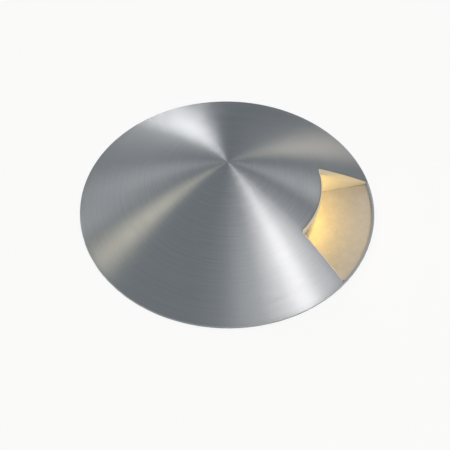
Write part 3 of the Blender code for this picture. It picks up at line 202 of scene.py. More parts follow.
@dataclass(frozen=True)
class Surface:
    """What every finish has: a name, its slot in the record and one node material."""

    name: str
    slot: Slot
    colour: str

    def shader(self, tree: Tree) -> bpy.types.Node:
        """Adds the nodes that draw the surface, and gives the shader."""
        raise NotImplementedError

    def material(self) -> bpy.types.Material:
        """Builds the node material, or gives the one that is there.

        Returns:
            The material.
        """
        if self.name in bpy.data.materials:
            return bpy.data.materials[self.name]
        made, tree = new_material(self.name)
        add_node(tree, "ShaderNodeOutputMaterial", {"Surface": self.shader(tree).outputs[0]})
        return made


@dataclass(frozen=True)
class Finish(Surface):
    """A metal, plastic or rubber surface with a grain in its colour, gloss and height."""

    shade: str  # what the colour varies to, in the grain's hollows
    roughness: float
    grain: Grain
    grain_size: float  # metres from one spot or line of the grain to the next
    grain_height: float
    metallic: float = 0.0
    ior: float = 1.5
    roughness_spread: float = 0.08
    edge_wear: float = 0.0  # how much paler the worn edges are
    worn_from: float = 0.53  # the Pointiness at which an edge starts to look worn
    worn_to: float = 0.62  # and at which it is fully worn
    cloud_scale: float = 0.13  # the broad clouds' noise scale, where the grain's is 1
    cloud_share: float = 0.35
    rolled_stretch: float = 12  # how much longer than wide the lines of a rolled strip are
    coat: float = 0.0
    glow: float = 0.0
    glow_colour: str = "#ffffff"

    def grain_vector(self, tree: Tree) -> Socket:
        """Gives the place on the surface, counted in grains, that the noise reads.

        Args:
            tree: The material's node tree.

        Returns:
            The output with that place.
        """
        add = partial(add_node, tree)
        place = add("ShaderNodeTexCoord").outputs["Object"]
        per_metre = 1 / self.grain_size
        if self.grain is Grain.TURNED:
            flat = add("ShaderNodeVectorMath", {0: place, 1: (1, 1, 0)}, operation="MULTIPLY")
            radius = add("ShaderNodeVectorMath", {0: flat.outputs[0]}, operation="LENGTH")
            lines = add("ShaderNodeMath", {0: radius.outputs["Value"], 1: per_metre}, operation="MULTIPLY")
            height = add("ShaderNodeSeparateXYZ", {0: place})
            along = add("ShaderNodeMath", {0: height.outputs[2], 1: per_metre}, operation="MULTIPLY")
            return add("ShaderNodeCombineXYZ", {0: lines.outputs[0], 1: along.outputs[0]}).outputs[0]
        along = per_metre / (self.rolled_stretch if self.grain is Grain.ROLLED else 1)
        stretch = (per_metre, per_metre, along)
        return add("ShaderNodeVectorMath", {0: place, 1: stretch}, operation="MULTIPLY").outputs[0]

    def worn(
        self, tree: Tree, colour: Socket, grain: Socket
    ) -> Socket:
        """Makes the colour paler on worn edges.

        Args:
            tree: The material's node tree.
            colour: The output with the surface's colour.
            grain: The output with the fine grain, which breaks the wear up.

        Returns:
            The output with the colour, worn at the edges.
        """
        add = partial(add_node, tree)
        edge = add("ShaderNodeNewGeometry").outputs["Pointiness"]
        edges = add("ShaderNodeMapRange", {0: edge, 1: self.worn_from, 2: self.worn_to})
        broken = add("ShaderNodeMath", {0: edges.outputs[0], 1: grain}, operation="MULTIPLY")
        lift = add("ShaderNodeMath", {0: broken.outputs[0], 1: self.edge_wear}, operation="MULTIPLY")
        paler = {0: lift.outputs[0], 6: colour, 7: (1, 1, 1, 1)}
        return add("ShaderNodeMix", paler, data_type="RGBA").outputs[2]

    def shader(self, tree: Tree) -> bpy.types.Node:
        """Adds the nodes: a fine grain and broad clouds that vary the colour and the gloss.

        Args:
            tree: The material's node tree.

        Returns:
            The shader.
        """
        add = partial(add_node, tree)
        vector = self.grain_vector(tree)
        fine = add("ShaderNodeTexNoise", {"Vector": vector, "Scale": 1, "Detail": 3, "Roughness": 0.6})
        broad = {"Vector": vector, "Scale": self.cloud_scale, "Detail": 2, "Roughness": 0.5}
        clouds = add("ShaderNodeTexNoise", broad)
        mixed = {0: self.cloud_share, 2: fine.outputs[0], 3: clouds.outputs[0]}
        both = add("ShaderNodeMix", mixed, data_type="FLOAT").outputs[0]
        shades = {0: both, 6: linear(self.shade), 7: linear(self.colour)}
        colour = add("ShaderNodeMix", shades, data_type="RGBA").outputs[2]
        if self.edge_wear:
            colour = self.worn(tree, colour, fine.outputs[0])
        low, high = self.roughness - self.roughness_spread, self.roughness + self.roughness_spread
        gloss = add("ShaderNodeMapRange", {0: both, 1: 0.3, 2: 0.7, 3: low, 4: high})
        height = {"Height": fine.outputs[0], "Distance": self.grain_height, "Strength": 1}
        bump = add("ShaderNodeBump", height)
        inputs = {
            "Base Color": colour,
            "Roughness": gloss.outputs[0],
            "Normal": bump.outputs[0],
            "Metallic": self.metallic,
            "Coat Weight": self.coat,
        }
        if not self.metallic:
            inputs["IOR"] = self.ior
        if self.glow:
            inputs |= {"Emission Color": linear(self.glow_colour), "Emission Strength": self.glow}
        return add("ShaderNodeBsdfPrincipled", inputs)


@dataclass(frozen=True)
class TurnedDomeSteel(Surface):
    """Stainless steel, face-turned on a lathe: the tool's concentric lines throw the
    light into narrow fans that run from the centre to the rim."""

    name: str = "stainless_steel_face_turned"
    slot: Slot = Slot.TURNED_STEEL
    colour: str = "#71777c"
    shade: str = "#696f73"
    roughness: float = 0.36
    roughness_spread: float = 0.04
    anisotropy: float = 0.95
    edge_tint: str = "#a0a0a0"
    # The real tool lines are about 0.1 mm apart. That is under a pixel, so they are
    # drawn coarser, to show as the fine rings the eye sees.
    line_pitch: float = 0.45 * MM
    line_height: float = 0.008 * MM
    band_pitch: float = 5 * MM
    band_share: float = 0.15
    drift: float = 1.6  # how fast the lines change on their way round

    def shader(self, tree: Tree) -> bpy.types.Node:
        """Adds the nodes: noise that is fine along the radius and slow round it.

        Args:
            tree: The material's node tree.

        Returns:
            The shader.
        """
        add = partial(add_node, tree)
        place = add("ShaderNodeTexCoord").outputs["Object"]
        flat = add("ShaderNodeVectorMath", {0: place, 1: (1, 1, 0)}, operation="MULTIPLY").outputs[0]
        radius = add("ShaderNodeVectorMath", {0: flat}, operation="LENGTH").outputs["Value"]
        facing = add("ShaderNodeVectorMath", {0: flat}, operation="NORMALIZE").outputs[0]
        slow = add("ShaderNodeVectorMath", {0: facing, "Scale": self.drift}, operation="SCALE")
        x, y, _ = add("ShaderNodeSeparateXYZ", {0: slow.outputs[0]}).outputs
        noises = []
        for pitch in (self.line_pitch, self.band_pitch):
            across = add("ShaderNodeMath", {0: radius, 1: 1 / pitch}, operation="MULTIPLY")
            vector = add("ShaderNodeCombineXYZ", {0: across.outputs[0], 1: x, 2: y}).outputs[0]
            noise = {"Vector": vector, "Scale": 1, "Detail": 2, "Roughness": 0.6}
            noises.append(add("ShaderNodeTexNoise", noise).outputs[0])
        lines, bands = noises
        both = add("ShaderNodeMix", {0: self.band_share, 2: lines, 3: bands}, data_type="FLOAT")
        spread = add("ShaderNodeMapRange", {0: both.outputs[0], 1: 0.35, 2: 0.65}).outputs[0]
        shades = {0: spread, 6: linear(self.shade), 7: linear(self.colour)}
        low, high = self.roughness - self.roughness_spread, self.roughness + self.roughness_spread
        bump = add("ShaderNodeBump", {"Height": lines, "Distance": self.line_height, "Strength": 1})
        around = add("ShaderNodeTangent", direction_type="RADIAL", axis="Z")
        inputs = {
            "Base Color": add("ShaderNodeMix", shades, data_type="RGBA").outputs[2],
            "Roughness": add("ShaderNodeMapRange", {0: spread, 3: low, 4: high}).outputs[0],
            "Normal": bump.outputs[0],
            "Tangent": around.outputs[0],
            "Metallic": 1,
            "Specular Tint": linear(self.edge_tint),
            "Anisotropic": self.anisotropy,
            "Anisotropic Rotation": 0.25,
        }
        return add("ShaderNodeBsdfPrincipled", inputs)


@dataclass(frozen=True)
class ClearStock(Surface):
    """Clear glass or acrylic, cast and ground: it shows what is behind it and a
    little of its own tint at the edges."""

    roughness: float
    ior: float
    roughness_share: float = 0.3  # how much of its roughness comes and goes
    ripple: float = 2 * MM
    # painted glow: emission that stands in for light passing through the stock, which is no lamp
    glow: float = 0.0
    glow_colour: str = "#ffffff"

    def shader(self, tree: Tree) -> bpy.types.Node:
        """Adds the nodes: a clear shader with a faint ripple in its gloss, and the painted glow of its
        emission.

        Args:
            tree: The material's node tree.

        Returns:
            The shader.
        """
        add = partial(add_node, tree)
        place = add("ShaderNodeTexCoord").outputs["Object"]
        noise = add("ShaderNodeTexNoise", {"Vector": place, "Scale": 1 / self.ripple, "Detail": 2})
        low, high = (self.roughness * (1 + sign * self.roughness_share) for sign in (-1, 1))
        inputs = {
            "Base Color": linear(self.colour),
            "Roughness": add("ShaderNodeMapRange", {0: noise.outputs[0], 3: low, 4: high}).outputs[0],
            "IOR": self.ior,
            "Transmission Weight": 1,
            "Emission Color": linear(self.glow_colour),
            "Emission Strength": self.glow,
        }
        return add("ShaderNodeBsdfPrincipled", inputs)


DOME_STEEL = TurnedDomeSteel()
# The same steel on the dome's cut edges and inside: plainly machined, duller and paler
MACHINED_STEEL = Finish(
    "stainless_steel_machined", Slot.TURNED_STEEL, "#8b9092", "#7c8183", 0.45, Grain.ROLLED,
    grain_size=0.3 * MM, grain_height=0.008 * MM, metallic=1,
)
# Austenitic steel, lathe-turned: rings of fine tool lines with a bright, slightly cool sheen
TURNED_STEEL = Finish(
    "stainless_steel_turned", Slot.TURNED_STEEL, "#a3a8ac", "#878c90", 0.3, Grain.TURNED,
    grain_size=0.4 * MM, grain_height=0.01 * MM, metallic=1, edge_wear=0.2,
)
# Spring steel, cold-rolled and blued off: darker, with lines along the strip
SPRING_STEEL = Finish(
    "spring_steel_rolled", Slot.SPRING_STEEL, "#8d9093", "#74777a", 0.34, Grain.ROLLED,
    grain_size=0.5 * MM, grain_height=0.006 * MM, metallic=1, edge_wear=0.25,
)
# Aluminium, glass-bead blasted and anodised: an even silky grain without any direction.
# The bead's own pits are about 0.1 mm and are drawn at 0.5 mm, so that the grain shows.
BLASTED_ALUMINIUM = Finish(
    "aluminium_bead_blasted", Slot.BLASTED, "#cec5ba", "#968f86", 0.58, Grain.BLASTED,
    grain_size=0.5 * MM, grain_height=0.08 * MM, metallic=0.15, edge_wear=0.2,
)
# Aluminium, die cast and shot blasted: duller grey with a coarser, sandy skin
CAST_ALUMINIUM = Finish(
    "aluminium_die_cast", Slot.CAST, "#9a9da1", "#7c8084", 0.48, Grain.CAST,
    grain_size=0.8 * MM, grain_height=0.06 * MM, metallic=0.8, edge_wear=0.3,
)
# Aluminium, polished and lacquered: it mirrors the lamp
POLISHED_ALUMINIUM = Finish(
    "aluminium_polished", Slot.POLISHED, "#ece9e2", "#e0dcd4", 0.12, Grain.TURNED,
    grain_size=0.6 * MM, grain_height=0.002 * MM, metallic=1, roughness_spread=0.03,
)
# Steel, machined and zinc plated: a thin bluish-grey skin, a little cloudy
ZINC_STEEL = Finish(
    "steel_zinc_plated", Slot.ZINC, "#b3b7b6", "#8e9290", 0.3, Grain.CAST,
    grain_size=0.9 * MM, grain_height=0.008 * MM, metallic=1, edge_wear=0.3,
)
# Brass, turned and nickel plated: a warmer grey than steel, satin
NICKEL_BRASS = Finish(
    "brass_nickel_plated", Slot.BRASS, "#c4bba0", "#a49b82", 0.28, Grain.TURNED,
    grain_size=0.35 * MM, grain_height=0.008 * MM, metallic=1, edge_wear=0.2,
)
# Polycarbonate, moulded in matt reflector white: soft and chalky, a touch of cream
CREAM_REFLECTOR = Finish(
    "polycarbonate_reflector_white", Slot.CREAM, "#efe7d2", "#e4dac2", 0.55, Grain.MOULDED,
    grain_size=0.5 * MM, grain_height=0.015 * MM,
)
# Silicone, moulded: red-brown, dull, with a slight bloom
SILICONE = Finish(
    "silicone_moulded", Slot.SILICONE, "#a5452f", "#8c3826", 0.6, Grain.MOULDED,
    grain_size=0.8 * MM, grain_height=0.01 * MM, ior=1.41,
)
# EPDM rubber, moulded: near black with a grey bloom
BLACK_RUBBER = Finish(
    "epdm_rubber_moulded", Slot.RUBBER, "#2b2b2d", "#1c1c1e", 0.72, Grain.MOULDED,
    grain_size=0.9 * MM, grain_height=0.03 * MM, ior=1.52,
)
# Polyamide, moulded on a spark-eroded tool: black with a fine leather-like matt
BLACK_POLYAMIDE = Finish(
    "polyamide_moulded_black", Slot.BLACK, "#303033", "#222225", 0.45, Grain.MOULDED,
    grain_size=0.45 * MM, grain_height=0.02 * MM, ior=1.53,
)
# Polypropylene, moulded from regrind: dark grey, waxy, with faint flow clouds
GREY_POLYPROPYLENE = Finish(
    "polypropylene_moulded_grey", Slot.GREY, "#7d8083", "#6d7073", 0.5, Grain.MOULDED,
    grain_size=0.7 * MM, grain_height=0.03 * MM, ior=1.49,
)
# Aluminium can in a printed sleeve of shrink film: smooth grey
CAPACITOR_SLEEVE = Finish(
    "shrink_film_grey", Slot.GREY, "#4f5660", "#464d57", 0.3, Grain.MOULDED,
    grain_size=2 * MM, grain_height=0.004 * MM, ior=1.54, coat=0.3,
)
# Acetal, moulded: waxy white
WHITE_ACETAL = Finish(
    "acetal_moulded_white", Slot.WHITE, "#e6e5df", "#dad8d0", 0.38, Grain.MOULDED,
    grain_size=0.6 * MM, grain_height=0.01 * MM, ior=1.48,
)
# Aluminium-core board under white solder mask: smooth, flat white
LED_BOARD_MASK = Finish(
    "solder_mask_white", Slot.LED_BOARD, "#eceae4", "#e2dfd8", 0.35, Grain.MOULDED,
    grain_size=1.2 * MM, grain_height=0.004 * MM,
)
# Phosphor in clear silicone over blue diodes: yellow, and lit warm white
PHOSPHOR = Finish(
    "phosphor_in_silicone", Slot.PHOSPHOR, "#f2cf62", "#e8bf45", 0.4, Grain.MOULDED,
    grain_size=0.4 * MM, grain_height=0.02 * MM, glow=14, glow_colour="#ffcf8a",
)
# Epoxy-glass board under green solder mask: glossy green over the weave
GREEN_BOARD = Finish(
    "solder_mask_green", Slot.GREEN_BOARD, "#1f7a3e", "#17602f", 0.3, Grain.MOULDED,
    grain_size=0.6 * MM, grain_height=0.01 * MM, coat=0.4,
)
# Ceramic-filled silicone pad: grey and dead matt
THERMAL_PAD = Finish(
    "silicone_pad_ceramic_filled", Slot.PAD, "#b2b5b9", "#a3a6aa", 0.8, Grain.MOULDED,
    grain_size=0.3 * MM, grain_height=0.02 * MM, ior=1.41,
)
# PVC insulation, extruded: smooth and a little shiny
RED_PVC = Finish(
    "pvc_extruded_red", Slot.RED_WIRE, "#c4271d", "#ab1f17", 0.35, Grain.MOULDED,
    grain_size=2 * MM, grain_height=0.004 * MM, ior=1.53,
)
# Soda-lime glass, toughened, with ground edges: clear with a trace of green
CLEAR_GLASS = ClearStock("soda_lime_glass_toughened", Slot.GLASS, "#f1f8f4", 0.03, 1.52)
# Acrylic, moulded and clear, with a painted glow: an even warm emission over the whole lens stands in for the
# light of the beam that leaves it
LENS_ACRYLIC = ClearStock(
    "acrylic_moulded_clear", Slot.LENS, "#fbf6ea", 0.12, 1.49, glow=1.2, glow_colour="#ffd79a"
)


# Making meshes


def polar(radius: float, angle: float) -> tuple[float, float]:
    """Gives the (x, y) of a point at that radius and angle."""
    return (radius * math.cos(angle), radius * math.sin(angle))


def between(start: float, end: float, steps: int) -> list[float]:
    """Gives evenly spaced numbers, both ends included."""
    return [start + (end - start) * i / steps for i in range(steps + 1)]


def arc(radius: float, start: float, end: float, steps: int, centre: tuple[float, float] = (0, 0)) -> Outline:
    """Gives the points of an arc from one angle to another, both ends included."""
    spots = [polar(radius, angle) for angle in between(start, end, steps)]
    return [(centre[0] + x, centre[1] + y) for x, y in spots]


def circle(radius: float, steps: int = 48, centre: tuple[float, float] = (0, 0)) -> Outline:
    """Gives a round outline."""
    return arc(radius, 0, 2 * math.pi, steps, centre)[:-1]


def around(count: int, first: float) -> list[float]:
    """Gives evenly spaced angles."""
    return [first + 2 * math.pi * i / count for i in range(count)]


def stepped(*turns: float) -> Outline:
    """Gives the (x, y) points of a square-cornered outline from its y and x by turns, a y first."""
    return [(turns[i + 1 - i % 2], turns[i + i % 2]) for i in range(len(turns) - 1)]


def threaded(radius: float, top: float, low: float, pitch: float = 0.0) -> Outline:
    """Gives the outer profile of a threaded shank, downwards.

    Args:
        radius: The thread's outer radius.
        top: The shank's upper end.
        low: Its lower end.
        pitch: From one turn of the thread to the next; if 0, a share of the radius.

    Returns:
        (radius, height) points.
    """
    depth = min(THREAD_DEPTH_SHARE * radius, DEEPEST_THREAD)
    turns = max(1, round((top - low - 2 * depth) / (pitch or THREAD_PITCH_SHARE * radius)))
    step = (top - low - 2 * depth) / turns
    made = [(radius - depth, top), (radius, top - depth)]
    for i in range(turns):
        made += [(radius - depth, top - depth - (i + 0.5) * step), (radius, top - depth - (i + 1) * step)]
    return [*made, (radius - depth, low)]


FLANGE_SCREW_SPOTS = [polar(FLANGE_SCREW_CIRCLE, angle) for angle in around(3, math.radians(60))]


def moved(piece: Piece, by: tuple[float, float, float]) -> Piece:
    """Moves a piece's mesh."""
    piece.data.transform(Matrix.Translation(by))
    return piece


def rounded(points: Outline, radius: float, closed: bool = True, steps: int = 3) -> Outline:
    """Rounds the corners of an outline.

    Args:
        points: The outline's corners.
        radius: The rounding, which short sides make smaller.
        closed: Whether the last point joins the first.
        steps: Steps in each corner.

    Returns:
        The rounded outline.
    """
    made = []
    count = len(points)
    for i, point in enumerate(points):
        if not closed and i in (0, count - 1):
            made.append(point)
            continue
        corner = Vector(point)
        to_last, to_next = Vector(points[i - 1]) - corner, Vector(points[(i + 1) % count]) - corner
        short = min(to_last.length, to_next.length)
        if short < NO_LENGTH:
            continue
        half_angle = to_last.angle(to_next) / 2
        if half_angle > NEARLY_STRAIGHT:
            made.append(point)
            continue
        setback = min(radius / math.tan(half_angle), short * CORNER_SHARE)
        start, end = corner + to_last.normalized() * setback, corner + to_next.normalized() * setback
        for share in between(0, 1, steps):
            spot = start * (1 - share) ** 2 + corner * 2 * share * (1 - share) + end * share**2
            made.append((spot.x, spot.y))
    return made


def supported(points: Outline, closed: bool) -> Outline:
    """Adds points near both ends of each long side and along it, so that its shading stays flat.

    Args:
        points: The outline.
        closed: Whether the last point joins the first.

    Returns:
        The outline with the points added.
    """
    made = []
    pairs = list(zip(points, points[1:]))
    for near, far in [*pairs, (points[-1], points[0])] if closed else pairs:
        made.append(near)
        side = Vector(far) - Vector(near)
        if side.length > LONG_SIDE:
            inset = side.normalized() * SUPPORT_INSET
            start, end = Vector(near) + inset, Vector(far) - inset
            count = math.ceil(side.length / SUPPORT_STEP)
            made += [tuple(start.lerp(end, share)) for share in between(0, 1, count)]
    return made if closed else [*made, points[-1]]


def shade(mesh: bpy.types.Mesh) -> None:
    """Shades a mesh smooth, except at its sharp edges."""
    mesh.shade_smooth()
    mesh.set_sharp_from_angle(angle=SHARP_ANGLE)


def new_object(name: str, work: bmesh.types.BMesh) -> Piece:
    """Makes an object of a mesh under construction, smooth except at its edges.

    Args:
        name: The piece's name.
        work: The mesh under construction, which is freed.

    Returns:
        The new object, in the scene.
    """
    bmesh.ops.recalc_face_normals(work, faces=work.faces)
    mesh = bpy.data.meshes.new(name)
    work.to_mesh(mesh)
    work.free()
    shade(mesh)
    made = bpy.data.objects.new(name, mesh)
    bpy.context.scene.collection.objects.link(made)
    return made


def bridge(work: bmesh.types.BMesh, rings: list[list[bmesh.types.BMVert]]) -> None:
    """Joins each closed ring of points to the next; a ring of one point is a tip.

    Args:
        work: The mesh under construction.
        rings: The rings, with as many points in each that isn't a tip.
    """
    for near, far in zip(rings, rings[1:]):
        sides = max(len(near), len(far))
        for i in range(sides if sides > 1 else 0):
            j = (i + 1) % sides
            if len(near) == 1:
                work.faces.new((near[0], far[i], far[j]))
            elif len(far) == 1:
                work.faces.new((near[i], near[j], far[0]))
            else:
                work.faces.new((near[i], near[j], far[j], far[i]))


def lathe(name: str, profile: Outline, sides: int, closed: bool = True, edge: float = 0.0) -> Piece:
    """Turns a profile about the Z axis.

    Args:
        name: The piece's name.
        profile: (radius, height) points.
        sides: Sides of the turned shape.
        closed: Whether the profile is a ring's section; if not, it ends on the axis.
        edge: How much its corners are rounded.

    Returns:
        The turned piece.
    """
    points = supported(rounded(profile, edge, closed), closed) if edge else profile
    work = bmesh.new()
    rings = []
    for radius, height in points:
        spots = [polar(radius, angle) for angle in around(sides, 0)] if radius > ON_AXIS else [(0, 0)]
        rings.append([work.verts.new((x, y, height)) for x, y in spots])
    bridge(work, [*rings, rings[0]] if closed else rings)
    return new_object(name, work)


def slab(name: str, outlines: list[Outline], low: float, high: float, edge: float = 0.0) -> Piece:
    """Makes a flat piece between two heights.

    Args:
        name: The piece's name.
        outlines: Its edge, and then the holes in it.
        low: Its lower face.
        high: Its upper face.
        edge: The width of the bevel on its edges.

    Returns:
        The piece.
    """
    curve = bpy.data.curves.new(name, "CURVE")
    curve.dimensions = "2D"
    curve.fill_mode = "BOTH"
    curve.extrude = (high - low) / 2
    for outline in outlines:
        run = add_run(curve, [(x, y, 0) for x, y in outline])
        run.use_cyclic_u = True
    made = moved(from_curve(name, curve), (0, 0, (low + high) / 2))
    return bevel_edges(made, edge) if edge else made


def wire(name: str, points: list[tuple[float, float, float]], radius: float) -> Piece:
    """Makes a round wire.

    Args:
        name: The piece's name.
        points: The points that it runs through.
        radius: The wire's radius.

    Returns:
        The wire.
    """
    curve = bpy.data.curves.new(name, "CURVE")
    curve.dimensions = "3D"
    curve.bevel_depth = radius
    curve.bevel_resolution = 3
    curve.use_fill_caps = True
    add_run(curve, points)
    return from_curve(name, curve)


def add_run(curve: bpy.types.Curve, points: list[tuple[float, float, float]]) -> bpy.types.Spline:
    """Adds a run of straight stretches to a curve.

    Args:
        curve: The curve.
        points: The points of the run.

    Returns:
        The run.
    """
    run = curve.splines.new("POLY")
    run.points.add(len(points) - 1)
    for point, place in zip(run.points, points):
        point.co = (*place, 1)
    return run


def from_curve(name: str, curve: bpy.types.Curve) -> Piece:
    """Makes a mesh piece of a curve, which is used up.

    Args:
        name: The piece's name.
        curve: The curve.

    Returns:
        The piece.
    """
    shape = bpy.data.objects.new(name + ".curve", curve)
    bpy.context.scene.collection.objects.link(shape)
    mesh = evaluated_mesh(shape)
    bpy.data.objects.remove(shape)
    bpy.data.curves.remove(curve)
    work = bmesh.new()
    work.from_mesh(mesh)
    bpy.data.meshes.remove(mesh)
    bmesh.ops.remove_doubles(work, verts=work.verts, dist=SAME_POINT)
    return new_object(name, work)


def evaluated_mesh(piece: Piece) -> bpy.types.Mesh:
    """Gives a new mesh of a piece as its modifiers or its curve make it."""
    bpy.context.view_layer.update()
    return bpy.data.meshes.new_from_object(piece.evaluated_get(bpy.context.evaluated_depsgraph_get()))


def bevel_edges(piece: Piece, width: float, segments: int = 2, angle: float = 50) -> Piece:
    """Breaks a piece's sharp edges.

    Args:
        piece: The piece.
        width: The bevel's width.
        segments: Steps across the bevel.
        angle: The angle in degrees from which an edge is broken.

    Returns:
        The same piece, with the bevel in its mesh.
    """
    bevel = piece.modifiers.new("edges", "BEVEL")
    bevel.width = width
    bevel.segments = segments
    bevel.limit_method = "ANGLE"
    bevel.angle_limit = math.radians(angle)
    return bake_modifiers(piece)


def bake_modifiers(piece: Piece) -> Piece:
    """Puts a piece's modifiers into its mesh.

    Args:
        piece: The piece.

    Returns:
        The same piece, without modifiers.
    """
    mesh, old = evaluated_mesh(piece), piece.data
    piece.modifiers.clear()
    piece.data = mesh
    bpy.data.meshes.remove(old)
    mesh.name = piece.name
    shade(mesh)
    return piece


def cut(piece: Piece, *tools: Piece, operation: str = "DIFFERENCE") -> Piece:
    """Cuts tools out of a piece, joins them to it or trims it to them.

    Args:
        piece: The piece.
        *tools: The tools, which are used up.
        operation: Blender's name for what is done.

    Returns:
        The same piece, with the cuts in its mesh.
    """
    for tool in tools:
        change = piece.modifiers.new("cut", "BOOLEAN")
        change.operation = operation
        change.solver = "EXACT"
        change.object = tool
    bake_modifiers(piece)
    for tool in tools:
        bpy.data.objects.remove(tool)
    return piece


def merge_points(piece: Piece, distance: float, beyond: float) -> None:
    """Joins points that lie close together, so that a bevel runs cleanly past them.

    Args:
        piece: The piece.
        distance: How close they are.
        beyond: The radius from which points are joined.
    """
    work = bmesh.new()
    work.from_mesh(piece.data)
    outer = [vert for vert in work.verts if math.hypot(vert.co.x, vert.co.y) > beyond]
    bmesh.ops.remove_doubles(work, verts=outer, dist=distance)
    work.to_mesh(piece.data)
    work.free()


def bar(name: str, size: tuple[float, float], low: float, high: float) -> Piece:
    """Makes a straight-sided tool, centred on the axis, between two heights."""
    x, y = size[0] / 2, size[1] / 2
    return slab(name, [[(-x, -y), (x, -y), (x, y), (-x, y)]], low, high)


def drill(
    piece: Piece, radius: float, spots: Outline, low: float, high: float, steps: int = 32
) -> Piece:
    """Drills upright holes of that radius at the spots, between the two heights."""
    return cut(piece, slab("drill", [circle(radius, steps, spot) for spot in spots], low, high))


def ribs(
    name: str,
    angles: list[float],
    root: tuple[float, float],
    tip: tuple[float, float],
    heights: tuple[float, float],
    edge: float,
) -> Piece:
    """Makes upright ribs round the axis, to be joined to a turned body.

    Args:
        name: The ribs' name.
        angles: Where they are.
        root: The radius that they start from, inside the body, and their width there.
        tip: The radius that they reach and their width there.
        heights: Their lower and upper ends.
        edge: The width of the bevel on their edges.

    Returns:
        The ribs.
    """
    outlines = []
    (near, near_width), (far, far_width) = root, tip
    near_turn, far_turn = math.asin(near_width / 2 / near), math.asin(far_width / 2 / far)
    for angle in angles:
        outline = [polar(near, angle - near_turn), polar(far, angle - far_turn)]
        outlines.append([*outline, polar(far, angle + far_turn), polar(near, angle + near_turn)])
    return slab(name, outlines, *heights, edge)


# Dressing


def dress(piece: Piece, finish: Surface, node: str, body: Body = Body.LUMINAIRE) -> Piece:
    """Gives a piece its finish, and the body and the CAD node that it belongs to.

    Args:
        piece: The piece, in its place but with its heights counted from the paving.
        finish: Its finish.
        node: The CAD node that it stands for.
        body: The body that it rides on.

    Returns:
        The same piece.
    """
    moved(piece, (0, 0, PAVING))
    piece.data.materials.clear()
    piece.data.materials.append(finish.material())
    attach(piece, body.value)
    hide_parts(node)
    log.info("%s: %s on %s, %d faces", piece.name, finish.name, body.value, len(piece.data.polygons))
    return piece


def dress_nodes(finish: Surface, *names: str) -> None:
    """Gives CAD nodes that stay as they are their finish.

    Args:
        finish: The finish.
        *names: The nodes' names.
    """
    for name in names:
        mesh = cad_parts[name].data
        for i in range(len(mesh.materials)):
            mesh.materials[i] = finish.material()
        log.info("%s: %s on the CAD node", name, finish.name)


@dataclass
class Screw:
    """A socket-head screw with a rolled thread; its head and socket are shares of its radius."""

    name: str
    radius: float
    grip: float
    spot: tuple[float, float, float]  # the middle of the head's underside
    upwards: bool = False  # whether its shank points up
    head_share: float = 1.8
    top_share: float = 1.4
    edge_share: float = 0.15
    socket_share: float = 0.9
    socket_depth_share: float = 0.8
    sides: int = 40

    def build(self, node: str) -> None:
        """Turns the screw, presses its hexagon socket and dresses it.

        Args:
            node: The CAD node that it stands for.
        """
        radius = self.radius
        head, top, edge = self.head_share * radius, self.top_share * radius, self.edge_share * radius
        profile = [(0, top), (head - edge, top), (head, top - edge), (head, edge / 2), (head - edge / 2, 0)]
        profile += [*threaded(radius, 0, -self.grip), (0, -self.grip)]
        made = lathe(self.name, profile, self.sides, closed=False)
        floor = top - self.socket_depth_share * radius
        cut(made, slab("socket", [circle(self.socket_share * radius, 6)], floor, top + radius))
        if self.upwards:
            made.data.transform(Matrix.Rotation(math.pi, 4, "X"))
        dress(moved(made, self.spot), ZINC_STEEL, node)


def screws(
    name: str, node: str, spots: Outline, head: float, radius: float, grip: float, upwards: bool = False
) -> None:
    """Builds a screw at each spot, its head's underside at one height; a number ends both names."""
    for number, (x, y) in enumerate(spots, 1):
        Screw(f"{name}_{number}", radius, grip, (x, y, head), upwards).build(f"{node}_{number}")


# The cover


